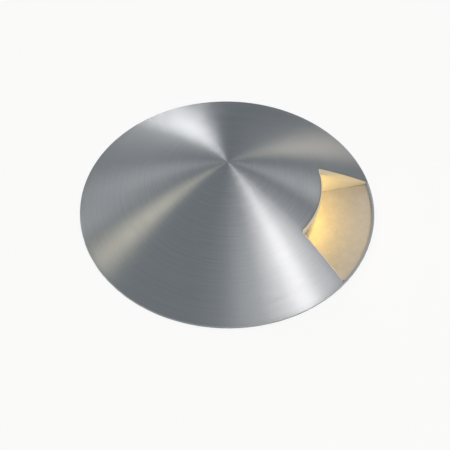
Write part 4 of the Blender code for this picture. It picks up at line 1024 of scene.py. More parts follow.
@dataclass
class Cover:
    """The turned steel dome with its window, and what hangs under it."""

    radius: float = 60 * MM
    height: float = 28.5 * MM
    wall: float = 2.2 * MM
    curve: float = 1.6  # how the dome falls: its height goes by one less this power of the radius
    lip_height: float = 0.9 * MM
    lip_width: float = 0.9 * MM
    edge: float = 0.12 * MM
    rim_foot_edge: float = 0.1 * MM
    outer_skin: float = 0.06 * MM  # how far under the outer face a face still belongs to it
    upright: float = 0.3  # a face whose normal rises less than this is a cut edge or an inner one
    window_radius: float = 37.5 * MM
    window_start: float = math.radians(-39.6)
    window_end: float = math.radians(14.1)
    window_fillet: float = 1.2 * MM
    hood_wall: float = 1.2 * MM
    hood_inner: float = 22 * MM
    hood_over_ring: float = 6.4 * MM
    hood_clear_of_ring: float = 34.4 * MM
    hood_reach: float = 55.5 * MM
    cheek_floor: float = 0.08 * MM
    hood_edge: float = 0.15 * MM
    lining_gap: float = 0.12 * MM  # from the dome's cut to the lining
    lining_wall: float = 0.3 * MM
    lining_back: float = 0.3 * MM  # how far it runs back into the hood's wall
    lining_below: float = 0.25 * MM  # from the dome's outer face down to the lining's top
    lining_foot: float = 1 * MM
    lining_toe: float = 0.02 * MM  # what is left of its width at its lower end
    cone_radius: float = 19 * MM
    cone_edge: float = 0.8 * MM
    cone_tip: float = 7.8 * MM
    cone_flare: float = 1.3
    cone_to_dome: float = 0.5 * MM
    boss_radius: float = 5 * MM
    turned_edge: float = 0.2 * MM
    centre_stud_radius: float = 2 * MM
    centre_stud_length: float = 8 * MM
    stud_radius: float = 1.5 * MM
    stud_foot: float = 0.6 * MM
    stud_pad: float = 2.6 * MM
    stud_pad_height: float = 1 * MM
    weld_fillet: float = 0.3 * MM
    groove_bottom: float = 2 * MM
    groove_top: float = 3.4 * MM
    groove_depth: float = 0.25 * MM
    sides: int = 288
    steps: int = 64

    @property
    def rise(self) -> float:
        """How far the dome rises above its rim."""
        return self.height - self.lip_height

    def top_at(self, radius: float) -> float:
        """Gives the height of the dome's outer face at that radius."""
        return SEAT_GAP + self.lip_height + self.rise * (1 - (radius / self.radius) ** self.curve)

    def under_at(self, radius: float, below: float = 0.0) -> float:
        """Gives the height of a face that lies so far below the dome's inner face."""
        slope = self.curve * self.rise / self.radius * (radius / self.radius) ** (self.curve - 1)
        return self.top_at(radius) - (self.wall + below) * math.hypot(1, slope)

    def foot_radius(self) -> float:
        """Finds where the dome's inner face reaches the rim's underside.

        Returns:
            The radius there.
        """
        low, high = 0.0, self.radius
        for _ in range(SOLVE_STEPS):
            middle = (low + high) / 2
            low, high = (middle, high) if self.under_at(middle) > SEAT_GAP else (low, middle)
        return low

    def window_edge(self, outer: float, steps: int = 1) -> Outline:
        """Gives the window's edge: in along one side, round the arc and out along the other.

        Args:
            outer: The radius at which it starts and ends.
            steps: Steps along each side.

        Returns:
            The edge's points, which run with the opening on their left.
        """
        middle = self.window_radius + self.window_fillet
        turn = math.asin(self.window_fillet / middle)
        quarter, half = math.pi / 2, math.pi
        start, end = self.window_start, self.window_end
        inner = middle * math.cos(turn)
        reaches = between(outer, inner, steps)[:-1]
        made = [polar(reach, end) for reach in reaches]
        made += arc(self.window_fillet, end + quarter, end + half - turn, 8, polar(middle, end - turn))
        made += arc(self.window_radius, end - turn, start + turn, 40)[1:-1]
        near = polar(middle, start + turn)
        made += arc(self.window_fillet, start + half + turn, start + half + quarter, 8, near)
        return made + [polar(reach, start) for reach in reversed(reaches)]

    def window(self, outer: float, low: float, high: float) -> Piece:
        """Makes the tool that cuts the window, out to that radius and between two heights."""
        outline = arc(outer, self.window_start, self.window_end, 48)[1:-1] + self.window_edge(outer)
        return slab("window_tool", [outline], low, high)

    def dome(self) -> Piece:
        """Turns the dome and cuts its window down to the thin lip.

        Returns:
            The dome.
        """
        foot, rim, rim_top = self.foot_radius(), self.radius, self.top_at(self.radius)
        shares = between(0, 1, self.steps)
        profile = [(rim * share, self.top_at(rim * share)) for share in shares[:-1]]
        profile += [(rim - self.edge, rim_top), (rim, rim_top - self.edge)]
        profile += [(rim, SEAT_GAP + self.rim_foot_edge), (rim - self.rim_foot_edge, SEAT_GAP)]
        profile += [(foot * share, self.under_at(foot * share)) for share in reversed(shares)]
        made = lathe("dome", profile, self.sides, closed=False)
        high = self.height + OVERRUN
        opening = self.window(rim + OVERRUN, SEAT_GAP + self.lip_height, high)
        cut(made, opening, self.window(rim - self.lip_width, -OVERRUN, high))
        merge_points(made, CLOSE_POINTS, self.hood_inner)
        return bevel_edges(made, self.edge, 1, 60)

    def machined_faces(self, dome: Piece) -> None:
        """Gives the dome's cut edges, lip and underside their plainer machined finish.

        Args:
            dome: The dressed dome.
        """
        dome.data.materials.append(MACHINED_STEEL.material())
        for face in dome.data.polygons:
            radius = math.hypot(face.center.x, face.center.y)
            depth = self.top_at(min(radius, self.radius)) - (face.center.z - PAVING)
            face.material_index = int(depth > self.outer_skin or face.normal.z < self.upright)

    def hood(self) -> Piece:
        """Makes the hood: a roof from the cone to the window, and a cheek on each side of it.

        Returns:
            The hood.
        """
        ring_edge, roof_end = self.hood_clear_of_ring, self.window_radius - SEAT_GAP
        radii = between(self.hood_inner, ring_edge, 10) + between(ring_edge + SEAT_GAP, roof_end, 2)
        radii += between(roof_end, self.hood_reach, 14)[1:]
        angles = between(self.window_start, self.window_end, 24)
        work = bmesh.new()
        rows = []
        for radius in radii:
            floor = self.hood_over_ring if radius < ring_edge + SEAT_GAP / 2 else self.cheek_floor
            roofed = radius < roof_end + SEAT_GAP / 2
            below = SEAT_GAP + (self.hood_wall + SEAT_GAP if roofed else 0)
            top = max(self.under_at(radius, below), floor + SEAT_GAP)
            across = [(angle, top) for angle in (angles if roofed else (angles[0], angles[-1]))]
            across = [(angles[0], floor), *across, (angles[-1], floor)]
            rows.append([work.verts.new((*polar(radius, angle), height)) for angle, height in across])
        for near, far in zip(rows, rows[1:]):
            last, end = len(near) - 1, len(far) - 1
            pairs = [(i, i) for i in range(last)] if last == end > 3 else [(0, 0), (last - 1, end - 1)]
            for a, b in pairs:
                work.faces.new((near[a], near[a + 1], far[b + 1], far[b]))
        made = new_object("hood", work)
        shell = made.modifiers.new("wall", "SOLIDIFY")
        shell.thickness = self.hood_wall
        shell.offset = 1
        shell.use_even_offset = True
        bevel_edges(made, self.hood_edge, 2, 60)
        return cut(made, self.lining(), operation="UNION")

    def lining(self) -> Piece:
        """Makes the thin raised edge of the hood, which covers the dome's cut from inside.

        Returns:
            The lining.
        """
        edge = self.window_edge(self.radius - self.lip_width - self.hood_edge, 14)
        gap, face = self.lining_gap, self.lining_gap + self.lining_wall
        work = bmesh.new()
        rings = []
        for i, (x, y) in enumerate(edge):
            before, after = Vector(edge[max(i - 1, 0)]), Vector(edge[min(i + 1, len(edge) - 1)])
            along = (after - before).normalized()
            reach = math.hypot(x, y)
            middle = max(self.under_at(reach, self.lining_foot / 2), self.lining_foot / 2)
            low = max(middle - self.lining_foot, self.rim_foot_edge)
            high = self.top_at(reach) - self.lining_below
            back = -self.lining_back if reach < self.hood_reach else self.rim_foot_edge
            section = [(back, low), (gap + self.lining_toe, low), (face, middle), (face, high), (gap, high)]
            section += [(gap, middle), (back, middle)]
            spots = [(x - along.y * inward, y + along.x * inward, height) for inward, height in section]
            rings.append([work.verts.new(spot) for spot in spots])
        bridge(work, rings)
        work.faces.new(rings[0])
        work.faces.new(rings[-1])
        return new_object("lining", work)

    def cone(self) -> Piece:
        """Turns the cone that throws the beam outwards, with the bore of its stud.

        Returns:
            The cone.
        """
        radius, edge, boss = self.cone_radius, self.turned_edge, self.boss_radius
        top = self.under_at(radius) - self.cone_to_dome
        boss_top = self.under_at(boss) - SEAT_GAP
        bore = self.centre_stud_radius + SEAT_GAP
        floor = self.under_at(self.centre_stud_radius) - self.centre_stud_length - 2 * SEAT_GAP
        profile = [(0, floor), (bore, floor), (bore, boss_top), (boss - edge, boss_top)]
        profile += [(boss, boss_top - edge), (boss, top), (radius - edge, top), (radius, top - edge)]
        flank = top - self.cone_edge - self.cone_tip
        for share in between(1, 0, 28):
            profile.append((radius * share**self.cone_flare, self.cone_tip + flank * share))
        return lathe("cone", profile, 128, closed=False)

    def studs(self) -> None:
        """Turns the three studs that snap into the ring, each with its groove."""
        top = self.under_at(STUD_CIRCLE + self.stud_pad) - SEAT_GAP
        low = top - self.stud_pad_height
        pad, edge, fillet = self.stud_pad, self.turned_edge, self.weld_fillet
        shank, foot, half = self.stud_radius, self.stud_foot, self.stud_radius / 2
        profile = [(0, top), (pad - edge, top), (pad, top - edge), (pad, low), (shank + fillet, low)]
        profile += [(shank, low - fillet), (shank, self.groove_top)]
        core = shank - self.groove_depth
        profile += [(core, self.groove_top - fillet), (core, self.groove_bottom + fillet)]
        profile += [(shank, self.groove_bottom), (shank, foot + half), (half, foot), (0, foot)]
        for number, angle in enumerate(STUD_ANGLES, 1):
            made = moved(lathe(f"stud_{number}", profile, 40, closed=False), (*polar(STUD_CIRCLE, angle), 0))
            dress(made, ZINC_STEEL, f"cover_stud_{number}", Body.COVER)

    def build(self) -> None:
        """Builds and dresses the cover's pieces."""
        self.machined_faces(dress(self.dome(), DOME_STEEL, "dome_cover", Body.COVER))
        dress(self.hood(), CREAM_REFLECTOR, "light_hood", Body.COVER)
        dress(self.cone(), POLISHED_ALUMINIUM, "beam_cone", Body.COVER)
        top = self.under_at(self.centre_stud_radius) - SEAT_GAP
        low = top - self.centre_stud_length
        thread = threaded(self.centre_stud_radius, top, low)
        stud = lathe("threaded_stud", [(0, top), *thread, (0, low)], 40, closed=False)
        dress(stud, ZINC_STEEL, "centre_stud", Body.COVER)
        self.studs()


# The turning ring and the head


@dataclass
class TurningRing:
    """The ring that the cover snaps into: it turns on the clamp ring and carries three grips."""

    bore: float = RING_BORE
    radius: float = RING_RADIUS
    ear_radius: float = 39.8 * MM
    ear_half: float = math.radians(6.5)
    corner: float = 0.9 * MM
    edge: float = 0.2 * MM
    low: float = 1.1 * MM
    high: float = 3.1 * MM
    grip_bore: float = 1.8 * MM
    grip_radius: float = 2.4 * MM
    grip_edge: float = 0.12 * MM
    collar_radius: float = 3.3 * MM
    collar_height: float = 1 * MM
    slit_length: float = 8 * MM
    slit_width: float = 0.4 * MM

    def ring(self) -> Piece:
        """Makes the ring with its ears, holes and broken edges.

        Returns:
            The ring.
        """
        outline = []
        for angle, following in zip(STUD_ANGLES, [*STUD_ANGLES[1:], STUD_ANGLES[0] + 2 * math.pi]):
            ear_end, next_ear = angle + self.ear_half, following - self.ear_half
            outline += arc(self.ear_radius, angle - self.ear_half, ear_end, 4)
            outline += arc(self.radius, ear_end, next_ear, round((next_ear - ear_end) * 26))
        holes = [circle(self.grip_radius + SEAT_GAP, 32, polar(STUD_CIRCLE, angle)) for angle in STUD_ANGLES]
        edges = [rounded(outline, self.corner, steps=4), circle(self.bore, 144), *holes]
        return slab("ring", edges, self.low, self.high, self.edge)

    def grip(self, number: int, angle: float) -> Piece:
        """Makes a grip: a collared spring bush, slit from below so that it gives.

        Args:
            number: Which grip it is.
            angle: Where it sits.

        Returns:
            The grip.
        """
        foot, low = self.high + SEAT_GAP, self.low
        top = foot + self.collar_height
        section = stepped(top, self.collar_radius, foot, self.grip_radius, low, self.grip_bore, top)
        made = lathe(f"grip_{number}", section, 48, edge=self.grip_edge)
        slits = []
        for turn in (0, math.pi / 2):
            slit = bar("slit", (self.slit_length, self.slit_width), low - OVERRUN, foot - self.slit_width)
            slit.data.transform(Matrix.Rotation(turn + angle, 4, "Z"))
            slits.append(slit)
        return moved(cut(made, *slits), (*polar(STUD_CIRCLE, angle), 0))

    def build(self) -> None:
        """Builds and dresses the ring and its grips."""
        dress(self.ring(), TURNED_STEEL, "turning_ring", Body.RING)
        for number, angle in enumerate(STUD_ANGLES, 1):
            dress(self.grip(number, angle), NICKEL_BRASS, f"stud_grip_{number}", Body.RING)


@dataclass
class LightHead:
    """The flange that closes the housing, the glass in it and the ring that clamps the glass."""

    radius: float = 59.2 * MM
    edge_thickness: float = 2 * MM
    body_radius: float = 50 * MM
    body_thickness: float = 5 * MM
    hub_radius: float = 36 * MM
    hub_depth: float = 9 * MM
    flange_edge: float = 0.3 * MM
    flange_screw_bite: float = 3.3 * MM
    aperture: float = 21 * MM
    glass_seat: float = 24.3 * MM
    glass_seat_depth: float = 5.7 * MM
    glass_radius: float = 24 * MM
    glass_thickness: float = 4 * MM
    glass_chamfer: float = 0.5 * MM
    gasket_thickness: float = 1.1 * MM
    gasket_beads: int = 3
    bead_height: float = 0.24 * MM
    clamp_bore: float = 20.8 * MM
    clamp_radius: float = 28.5 * MM
    clamp_lip: float = 30.1 * MM
    clamp_lip_height: float = 1 * MM
    clamp_top: float = 4.4 * MM
    clamp_chamfer: float = 1.8 * MM
    clamp_edge: float = 0.25 * MM
    glide_top: float = 0.8 * MM
    glide_edge: float = 0.1 * MM
    screw_circle: float = 26.4 * MM
    screw_first: float = math.radians(32)
    screw_radius: float = 1 * MM
    screw_grip: float = 3.4 * MM
    sides: int = 200

    @property
    def screw_spots(self) -> Outline:
        """Where the clamp ring's screws are."""
        return [polar(self.screw_circle, angle) for angle in around(4, self.screw_first)]

    def flange(self) -> Piece:
        """Turns the flange plate and drills it.

        Returns:
            The flange plate.
        """
        rim, body, hub = self.radius, self.body_radius, self.hub_radius
        rim_low, body_low, low = -self.edge_thickness, -self.body_thickness, -self.hub_depth
        hole, ledge, seat = self.aperture, self.glass_seat, -self.glass_seat_depth
        section = stepped(0, rim, rim_low, body, body_low, hub, low, hole, seat, ledge, 0)
        made = lathe("flange", section, self.sides, edge=self.flange_edge)
        drill(made, self.screw_radius + SEAT_GAP, self.screw_spots, -self.screw_grip - SEAT_GAP, OVERRUN)
        hole, high = FLANGE_SCREW_RADIUS + SEAT_GAP, body_low + self.flange_screw_bite
        return drill(made, hole, FLANGE_SCREW_SPOTS, body_low - OVERRUN, high)

    def clamp(self) -> Piece:
        """Turns the clamp ring and drills it.

        Returns:
            The clamp ring.
        """
        top, bore, chamfer = self.clamp_top, self.clamp_bore, self.clamp_chamfer
        lip, lip_low = self.clamp_lip, top - self.clamp_lip_height
        section = stepped(top, lip, lip_low, self.clamp_radius, SEAT_GAP, bore, top - chamfer)
        section.append((bore + chamfer, top))
        made = lathe("clamp", section, self.sides, edge=self.clamp_edge)
        return drill(made, self.screw_radius + SEAT_GAP, self.screw_spots, -OVERRUN, top + OVERRUN)

    def glass_parts(self) -> None:
        """Makes the ground glass and the ribbed gasket that it lies on."""
        low, edge, chamfer = -self.glass_thickness, self.glass_radius, self.glass_chamfer
        profile = [(0, 0), (edge - chamfer, 0), (edge, -chamfer), (edge, low + chamfer)]
        profile += [(edge - chamfer, low), (0, low)]
        glass = lathe("glass", profile, self.sides, closed=False)
        dress(glass, CLEAR_GLASS, "front_glass")
        inner, top = self.aperture + SEAT_GAP, low - SEAT_GAP
        low = top - self.gasket_thickness
        section = []
        for share in between(0, 1, 20):
            dip = (1 + math.cos(2 * math.pi * self.gasket_beads * share)) / 2
            section.append((inner + (edge - inner) * share, top - self.bead_height * dip))
        gasket = lathe("glass_seal", [*section, (edge, low), (inner, low)], self.sides)
        dress(gasket, SILICONE, "glass_gasket")

    def build(self) -> None:
        """Builds and dresses the head's pieces."""
        dress(self.flange(), BLASTED_ALUMINIUM, "flange_plate")
        self.glass_parts()
        dress(self.clamp(), TURNED_STEEL, "clamp_ring")
        glide = stepped(self.glide_top, RING_RADIUS, SEAT_GAP, RING_BORE, self.glide_top)
        made = lathe("glide", glide, 160, edge=self.glide_edge)
        dress(made, WHITE_ACETAL, "glide_washer")
        head = self.clamp_top + SEAT_GAP
        grip = head + self.screw_grip
        screws("clamp_cap_screw", "clamp_screw", self.screw_spots, head, self.screw_radius, grip)


# The housing


@dataclass
class Housing:
    """The cast housing with its fins, and the plate that closes it from below."""

    lip_radius: float = 50 * MM
    radius: float = 39 * MM
    bore: float = 36.3 * MM
    top: float = -6.6 * MM
    lip_bottom: float = -9.6 * MM
    shelf_top: float = SHELF_TOP
    shelf_bottom: float = -24.3 * MM
    rim_top: float = -46.3 * MM
    bottom: float = -54.3 * MM
    rim_radius: float = 43 * MM
    cast_edge: float = 0.7 * MM
    fins: int = 16
    fin_height: float = 4 * MM
    fin_thickness: float = 2 * MM
    fin_taper: float = 0.5 * MM
    fin_edge: float = 0.35 * MM
    fin_top_space: float = 2 * MM
    wire_circle: float = 18.8 * MM
    wire_angles: tuple[float, float] = (math.radians(68), math.radians(112))
    wire_hole: float = 2 * MM
    board_hole_depth: float = 2.3 * MM
    flange_screw_point: float = 2 * MM  # how far under the paving the screws end
    base_top: float = -54.6 * MM
    base_bottom: float = -58.1 * MM
    base_edge: float = 0.3 * MM
    gland_hole: float = 8.3 * MM
    spigot_radius: float = 36 * MM
    spigot_bore: float = 32 * MM
    spigot_height: float = 5 * MM
    groove_depth: float = 2 * MM
    cord_radius: float = 0.9 * MM
    base_screw_circle: float = 39.65 * MM
    base_screw_radius: float = 1.25 * MM
    base_screw_bite: float = 5 * MM
    gasket_top: float = -5.3 * MM
    gasket_thickness: float = 1 * MM
    gasket_inset: float = 1.2 * MM
    gasket_edge: float = 0.15 * MM
    vent_spot: tuple[float, float] = (-18.85 * MM, 18.85 * MM)
    vent_radius: float = 2.8 * MM
    vent_head: float = 4.5 * MM
    vent_head_height: float = 3 * MM
    vent_chamfer: float = 0.7 * MM
    vent_slot: tuple[float, float] = (5.5 * MM, 0.9 * MM)
    sides: int = 160

    @property
    def base_screw_spots(self) -> Outline:
        """Where the base plate's screws are."""
        return [polar(self.base_screw_circle, angle) for angle in around(3, math.radians(30))]

    def body(self) -> Piece:
        """Makes the casting: a turned body with fins, and its drilled holes.

        Returns:
            The housing.
        """
        top, radius, bore = self.shelf_top, self.radius, self.bore
        lip_low, rim_top, low = self.lip_bottom, self.rim_top, self.bottom
        outer = [bore, self.top, self.lip_radius, lip_low, radius, rim_top, self.rim_radius, low]
        profile = [(0, top), *stepped(top, *outer, bore, self.shelf_bottom, 0)]
        made = lathe("housing", profile, self.sides, closed=False, edge=self.cast_edge)
        angles, thickness = around(self.fins, math.pi / self.fins), self.fin_thickness
        heights = (rim_top - JOIN, lip_low - self.fin_top_space)
        tip = (radius + self.fin_height, thickness - self.fin_taper)
        fins = ribs("fins", angles, (radius - JOIN, thickness), tip, heights, self.fin_edge)
        cut(made, fins, operation="UNION")
        hole = FLANGE_SCREW_RADIUS + SEAT_GAP
        drill(made, hole, FLANGE_SCREW_SPOTS, lip_low - OVERRUN, self.top + OVERRUN)
        hole, high = self.base_screw_radius + SEAT_GAP, low + self.base_screw_bite + SEAT_GAP
        drill(made, hole, self.base_screw_spots, low - OVERRUN, high)
        wires = [polar(self.wire_circle, angle) for angle in self.wire_angles]
        high = self.shelf_top + OVERRUN
        drill(made, self.wire_hole, wires, self.shelf_bottom - OVERRUN, high)
        hole = BOARD_SCREW_RADIUS + SEAT_GAP
        return drill(made, hole, BOARD_SCREW_SPOTS, self.shelf_top - self.board_hole_depth, high)

    def base(self) -> Piece:
        """Turns the base plate with its spigot and seal groove, and drills it.

        Returns:
            The base plate.
        """
        top, low, rim, hole = self.base_top, self.base_bottom, self.rim_radius, self.gland_hole
        middle, half = top + self.spigot_height / 2, self.cord_radius + SEAT_GAP
        spigot, bore, spigot_top = self.spigot_radius, self.spigot_bore, top + self.spigot_height
        groove, groove_low, groove_top = spigot - self.groove_depth, middle - half, middle + half
        cord_groove = [groove_top, groove, groove_low, spigot]
        section = stepped(top, rim, low, hole, top, bore, spigot_top, spigot, *cord_groove, top)
        made = lathe("base", section, self.sides, edge=self.base_edge)
        low, high = low - OVERRUN, top + OVERRUN
        drill(made, self.base_screw_radius + SEAT_GAP, self.base_screw_spots, low, high)
        return drill(made, self.vent_radius + SEAT_GAP, [self.vent_spot], low, high)

    def seals(self) -> None:
        """Makes the flat gasket under the flange and the cord in the spigot's groove."""
        outer, inner = self.lip_radius - self.gasket_inset, self.bore + self.gasket_inset
        holes = [circle(FLANGE_SCREW_RADIUS + SEAT_GAP, 32, spot) for spot in FLANGE_SCREW_SPOTS]
        outlines = [circle(outer, self.sides), circle(inner, self.sides), *holes]
        low = self.gasket_top - self.gasket_thickness
        gasket = slab("flange_gasket", outlines, low, self.gasket_top, self.gasket_edge)
        dress(gasket, BLACK_RUBBER, "housing_gasket")
        middle = self.base_top + self.spigot_height / 2
        centre = self.spigot_radius - self.groove_depth + self.cord_radius + SEAT_GAP
        cord = lathe("seal_cord", circle(self.cord_radius, 20, (centre, middle)), self.sides)
        dress(cord, SILICONE, "base_o_ring")

    def vent(self) -> Piece:
        """Makes the breather plug, with a slotted head.

        Returns:
            The plug.
        """
        radius, wide, chamfer, tip = self.vent_radius, self.vent_head, self.vent_chamfer, SEAT_GAP
        top, head = self.base_top, self.base_bottom - SEAT_GAP
        low = head - self.vent_head_height
        profile = [(0, top), (radius - tip, top), (radius, top - tip), (radius, head), (wide, head)]
        profile += [(wide, low + chamfer), (wide - chamfer, low), (0, low)]
        made = lathe("vent", profile, 48, closed=False)
        cut(made, bar("slot", self.vent_slot, low - OVERRUN, low + self.vent_slot[1]))
        return moved(made, (*self.vent_spot, 0))

    def build(self) -> None:
        """Builds and dresses the housing's pieces."""
        dress(self.body(), CAST_ALUMINIUM, "housing_body")
        dress(self.base(), CAST_ALUMINIUM, "base_plate")
        self.seals()
        radius, head = FLANGE_SCREW_RADIUS, self.lip_bottom - SEAT_GAP
        grip = -head - self.flange_screw_point
        screws("flange_cap_screw", "flange_screw", FLANGE_SCREW_SPOTS, head, radius, grip, upwards=True)
        radius, head = self.base_screw_radius, self.base_bottom - SEAT_GAP
        grip = self.bottom + self.base_screw_bite - head
        screws("base_cap_screw", "base_screw", self.base_screw_spots, head, radius, grip, upwards=True)
        dress(self.vent(), BLACK_POLYAMIDE, "breather_plug")


@dataclass
class LightEngine:
    """The LED on its board, with the lens, the wires and the driver below the shelf."""

    lens_top: float = -5 * MM
    lens_bottom: float = -14 * MM
    lens_radius: float = 19 * MM
    lens_foot: float = 8 * MM
    lens_rim: float = 1.2 * MM
    lens_edge: float = 0.2 * MM
    lens_belly: float = 0.35 * MM  # how far its flank swells past a straight one
    lens_cup: float = 4 * MM
    lens_cup_depth: float = 4 * MM
    lens_cup_dome: float = 1 * MM
    board_top: float = -18.6 * MM
    board_radius: float = 16.5 * MM
    board_thickness: float = 1.6 * MM
    board_edge: float = 0.1 * MM
    pad_thickness: float = 0.5 * MM
    pad_edge: float = 0.08 * MM
    holder_radius: float = 10.5 * MM
    holder_bore: float = 6.5 * MM
    holder_height: float = 4 * MM
    holder_edge: float = 0.3 * MM
    chip_radius: float = 5.8 * MM
    chip_base: float = 0.9 * MM
    chip_dome: tuple[float, float] = (5.2 * MM, 4.6 * MM)
    chip_top: float = 1.2 * MM
    chip_round: float = 0.05 * MM
    screw_point: float = 2 * MM  # how far under the shelf's top the board's screws end

    def lens(self) -> Piece:
        """Turns the lens: a cup that takes the light in and a flank that mirrors it up.

        Returns:
            The lens.
        """
        top, radius, foot, edge = self.lens_top, self.lens_radius, self.lens_foot, self.lens_edge
        rim = top - self.lens_rim
        profile = [(0, top), (radius - edge, top), (radius, top - edge), (radius, rim)]
        for share in between(0, 1, 20)[1:-1]:
            reach = radius + (foot - radius) * share + self.lens_belly * math.sin(math.pi * share)
            profile.append((reach, rim + (self.lens_bottom - rim) * share))
        profile += [(foot, self.lens_bottom), (self.lens_cup, self.lens_bottom)]
        cup_edge = self.lens_bottom + self.lens_cup_depth - self.lens_cup_dome
        for turn in between(0, math.pi / 2, 8):
            profile.append((self.lens_cup * math.cos(turn), cup_edge + self.lens_cup_dome * math.sin(turn)))
        return lathe("lens", [*profile[:-1], (0, profile[-1][1])], 128, closed=False)

    def build(self) -> None:
        """Builds and dresses the engine's pieces."""
        dress(self.lens(), LENS_ACRYLIC, "beam_lens")
        holes = [circle(BOARD_SCREW_RADIUS + SEAT_GAP, 24, spot) for spot in BOARD_SCREW_SPOTS]
        board, low = [circle(self.board_radius, 96), *holes], self.board_top - self.board_thickness
        made = slab("led_plate", board, low, self.board_top, self.board_edge)
        dress(made, LED_BOARD_MASK, "led_board")
        top = low - SEAT_GAP
        made = slab("heat_pad", board, top - self.pad_thickness, top, self.pad_edge)
        dress(made, THERMAL_PAD, "thermal_pad")
        low = self.board_top + SEAT_GAP
        (wide, narrow), top = self.chip_dome, low + self.chip_top
        chip = [(0, top), (narrow, top - self.chip_round), (wide, low + self.chip_base)]
        chip += stepped(low + self.chip_base, self.chip_radius, low, 0)
        dress(lathe("light_source", chip, 64, closed=False), PHOSPHOR, "led_chip")
        outer, bore, top = self.holder_radius, self.holder_bore, low + self.holder_height
        holder = lathe("lens_holder", stepped(top, outer, low, bore, top), 96, edge=self.holder_edge)
        dress(holder, WHITE_ACETAL, "led_holder")
        grip = low - SHELF_TOP + self.screw_point
        screws("board_cap_screw", "board_screw", BOARD_SCREW_SPOTS, low, BOARD_SCREW_RADIUS, grip)
        dress_nodes(WHITE_ACETAL, "terminal_block")
        dress_nodes(RED_PVC, "led_wire_red")
        dress_nodes(BLACK_POLYAMIDE, "led_wire_black", "driver_tray", "driver_transformer")
        dress_nodes(GREEN_BOARD, "driver_board")
        dress_nodes(CAPACITOR_SLEEVE, "driver_capacitor")


@dataclass
class CableGland:
    """The cable gland in the middle of the base plate: body, locknut, seal and nut."""

    thread_radius: float = 8 * MM
    thread_pitch: float = 1.2 * MM
    bore: float = 4.4 * MM
    hexagon: float = 20 * MM
    chamfer: float = 0.5 * MM
    collar_top: float = -58.4 * MM
    collar_bottom: float = -63.4 * MM
    tail_radius: float = 7.5 * MM
    tail_bottom: float = -68.9 * MM
    thread_top: float = -49.8 * MM
    nut_bore: float = 7.8 * MM
    nut_radius: float = 10.6 * MM
    nut_bottom: float = -75.2 * MM
    nut_lip: float = 1.7 * MM
    nut_taper: float = 3 * MM
    nut_edge: float = 0.3 * MM
    flutes: int = 14
    first_flute: float = 0.1
    flute_radius: float = 0.9 * MM
    flute_depth: float = 0.55 * MM
    locknut_hexagon: float = 22 * MM
    locknut_top: float = -50.3 * MM
    locknut_height: float = 4 * MM
    seal_top: float = -69.2 * MM
    seal_height: float = 4 * MM
    seal_bore: float = 3.8 * MM
    seal_edge: float = 0.4 * MM

    def body(self) -> Piece:
        """Makes the body: a thread, a hexagon with chamfered corners and a tail.

        Returns:
            The body.
        """
        corner, chamfer, tail = self.hexagon / math.sqrt(3), self.chamfer, self.tail_radius
        high, low = self.collar_top, self.collar_bottom
        section = threaded(self.thread_radius, self.thread_top, high, self.thread_pitch)
        section += [(corner - chamfer, high), (corner, high - chamfer), (corner, low + chamfer)]
        section += [(corner - chamfer, low), (tail, low), (tail, self.tail_bottom)]
        section += [(self.bore, self.tail_bottom), (self.bore, self.thread_top)]
        made = lathe("gland_sleeve", section, 96)
        outline = [polar(corner, angle) for angle in around(6, math.pi / 2)]
        prism = slab("hexagon", [outline], self.tail_bottom - OVERRUN, self.thread_top + OVERRUN)
        return cut(made, prism, operation="INTERSECT")

    def nut(self) -> Piece:
        """Makes the nut, fluted for the fingers.

        Returns:
            The nut.
        """
        radius, wide, bore = self.nut_radius, self.nut_bore, self.bore
        top, low, lip = self.collar_bottom - SEAT_GAP, self.nut_bottom, self.nut_bottom + self.nut_lip
        section = [(radius, top), (radius, low + self.nut_taper), (wide, low), (bore, low), (bore, lip)]
        made = lathe("gland_cap", [*section, (wide, lip), (wide, top)], 120, edge=self.nut_edge)
        reach = radius + self.flute_radius - self.flute_depth
        spots = [polar(reach, angle) for angle in around(self.flutes, self.first_flute)]
        return drill(made, self.flute_radius, spots, low - OVERRUN, top + OVERRUN, 20)

    def build(self) -> None:
        """Builds and dresses the gland's pieces."""
        dress(self.body(), BLACK_POLYAMIDE, "gland_body")
        dress(self.nut(), BLACK_POLYAMIDE, "gland_nut")
        outlines = [circle(self.locknut_hexagon / math.sqrt(3), 6), circle(self.thread_radius + SEAT_GAP, 48)]
        low = self.locknut_top - self.locknut_height
        nut = slab("back_nut", outlines, low, self.locknut_top, self.nut_edge)
        dress(nut, NICKEL_BRASS, "gland_locknut")
        outer, bore, top = self.tail_radius, self.seal_bore, self.seal_top
        low = top - self.seal_height
        seal = lathe("cable_seal", stepped(top, outer, low, bore, top), 96, edge=self.seal_edge)
        dress(seal, BLACK_RUBBER, "gland_seal")


# The clips and the sleeve


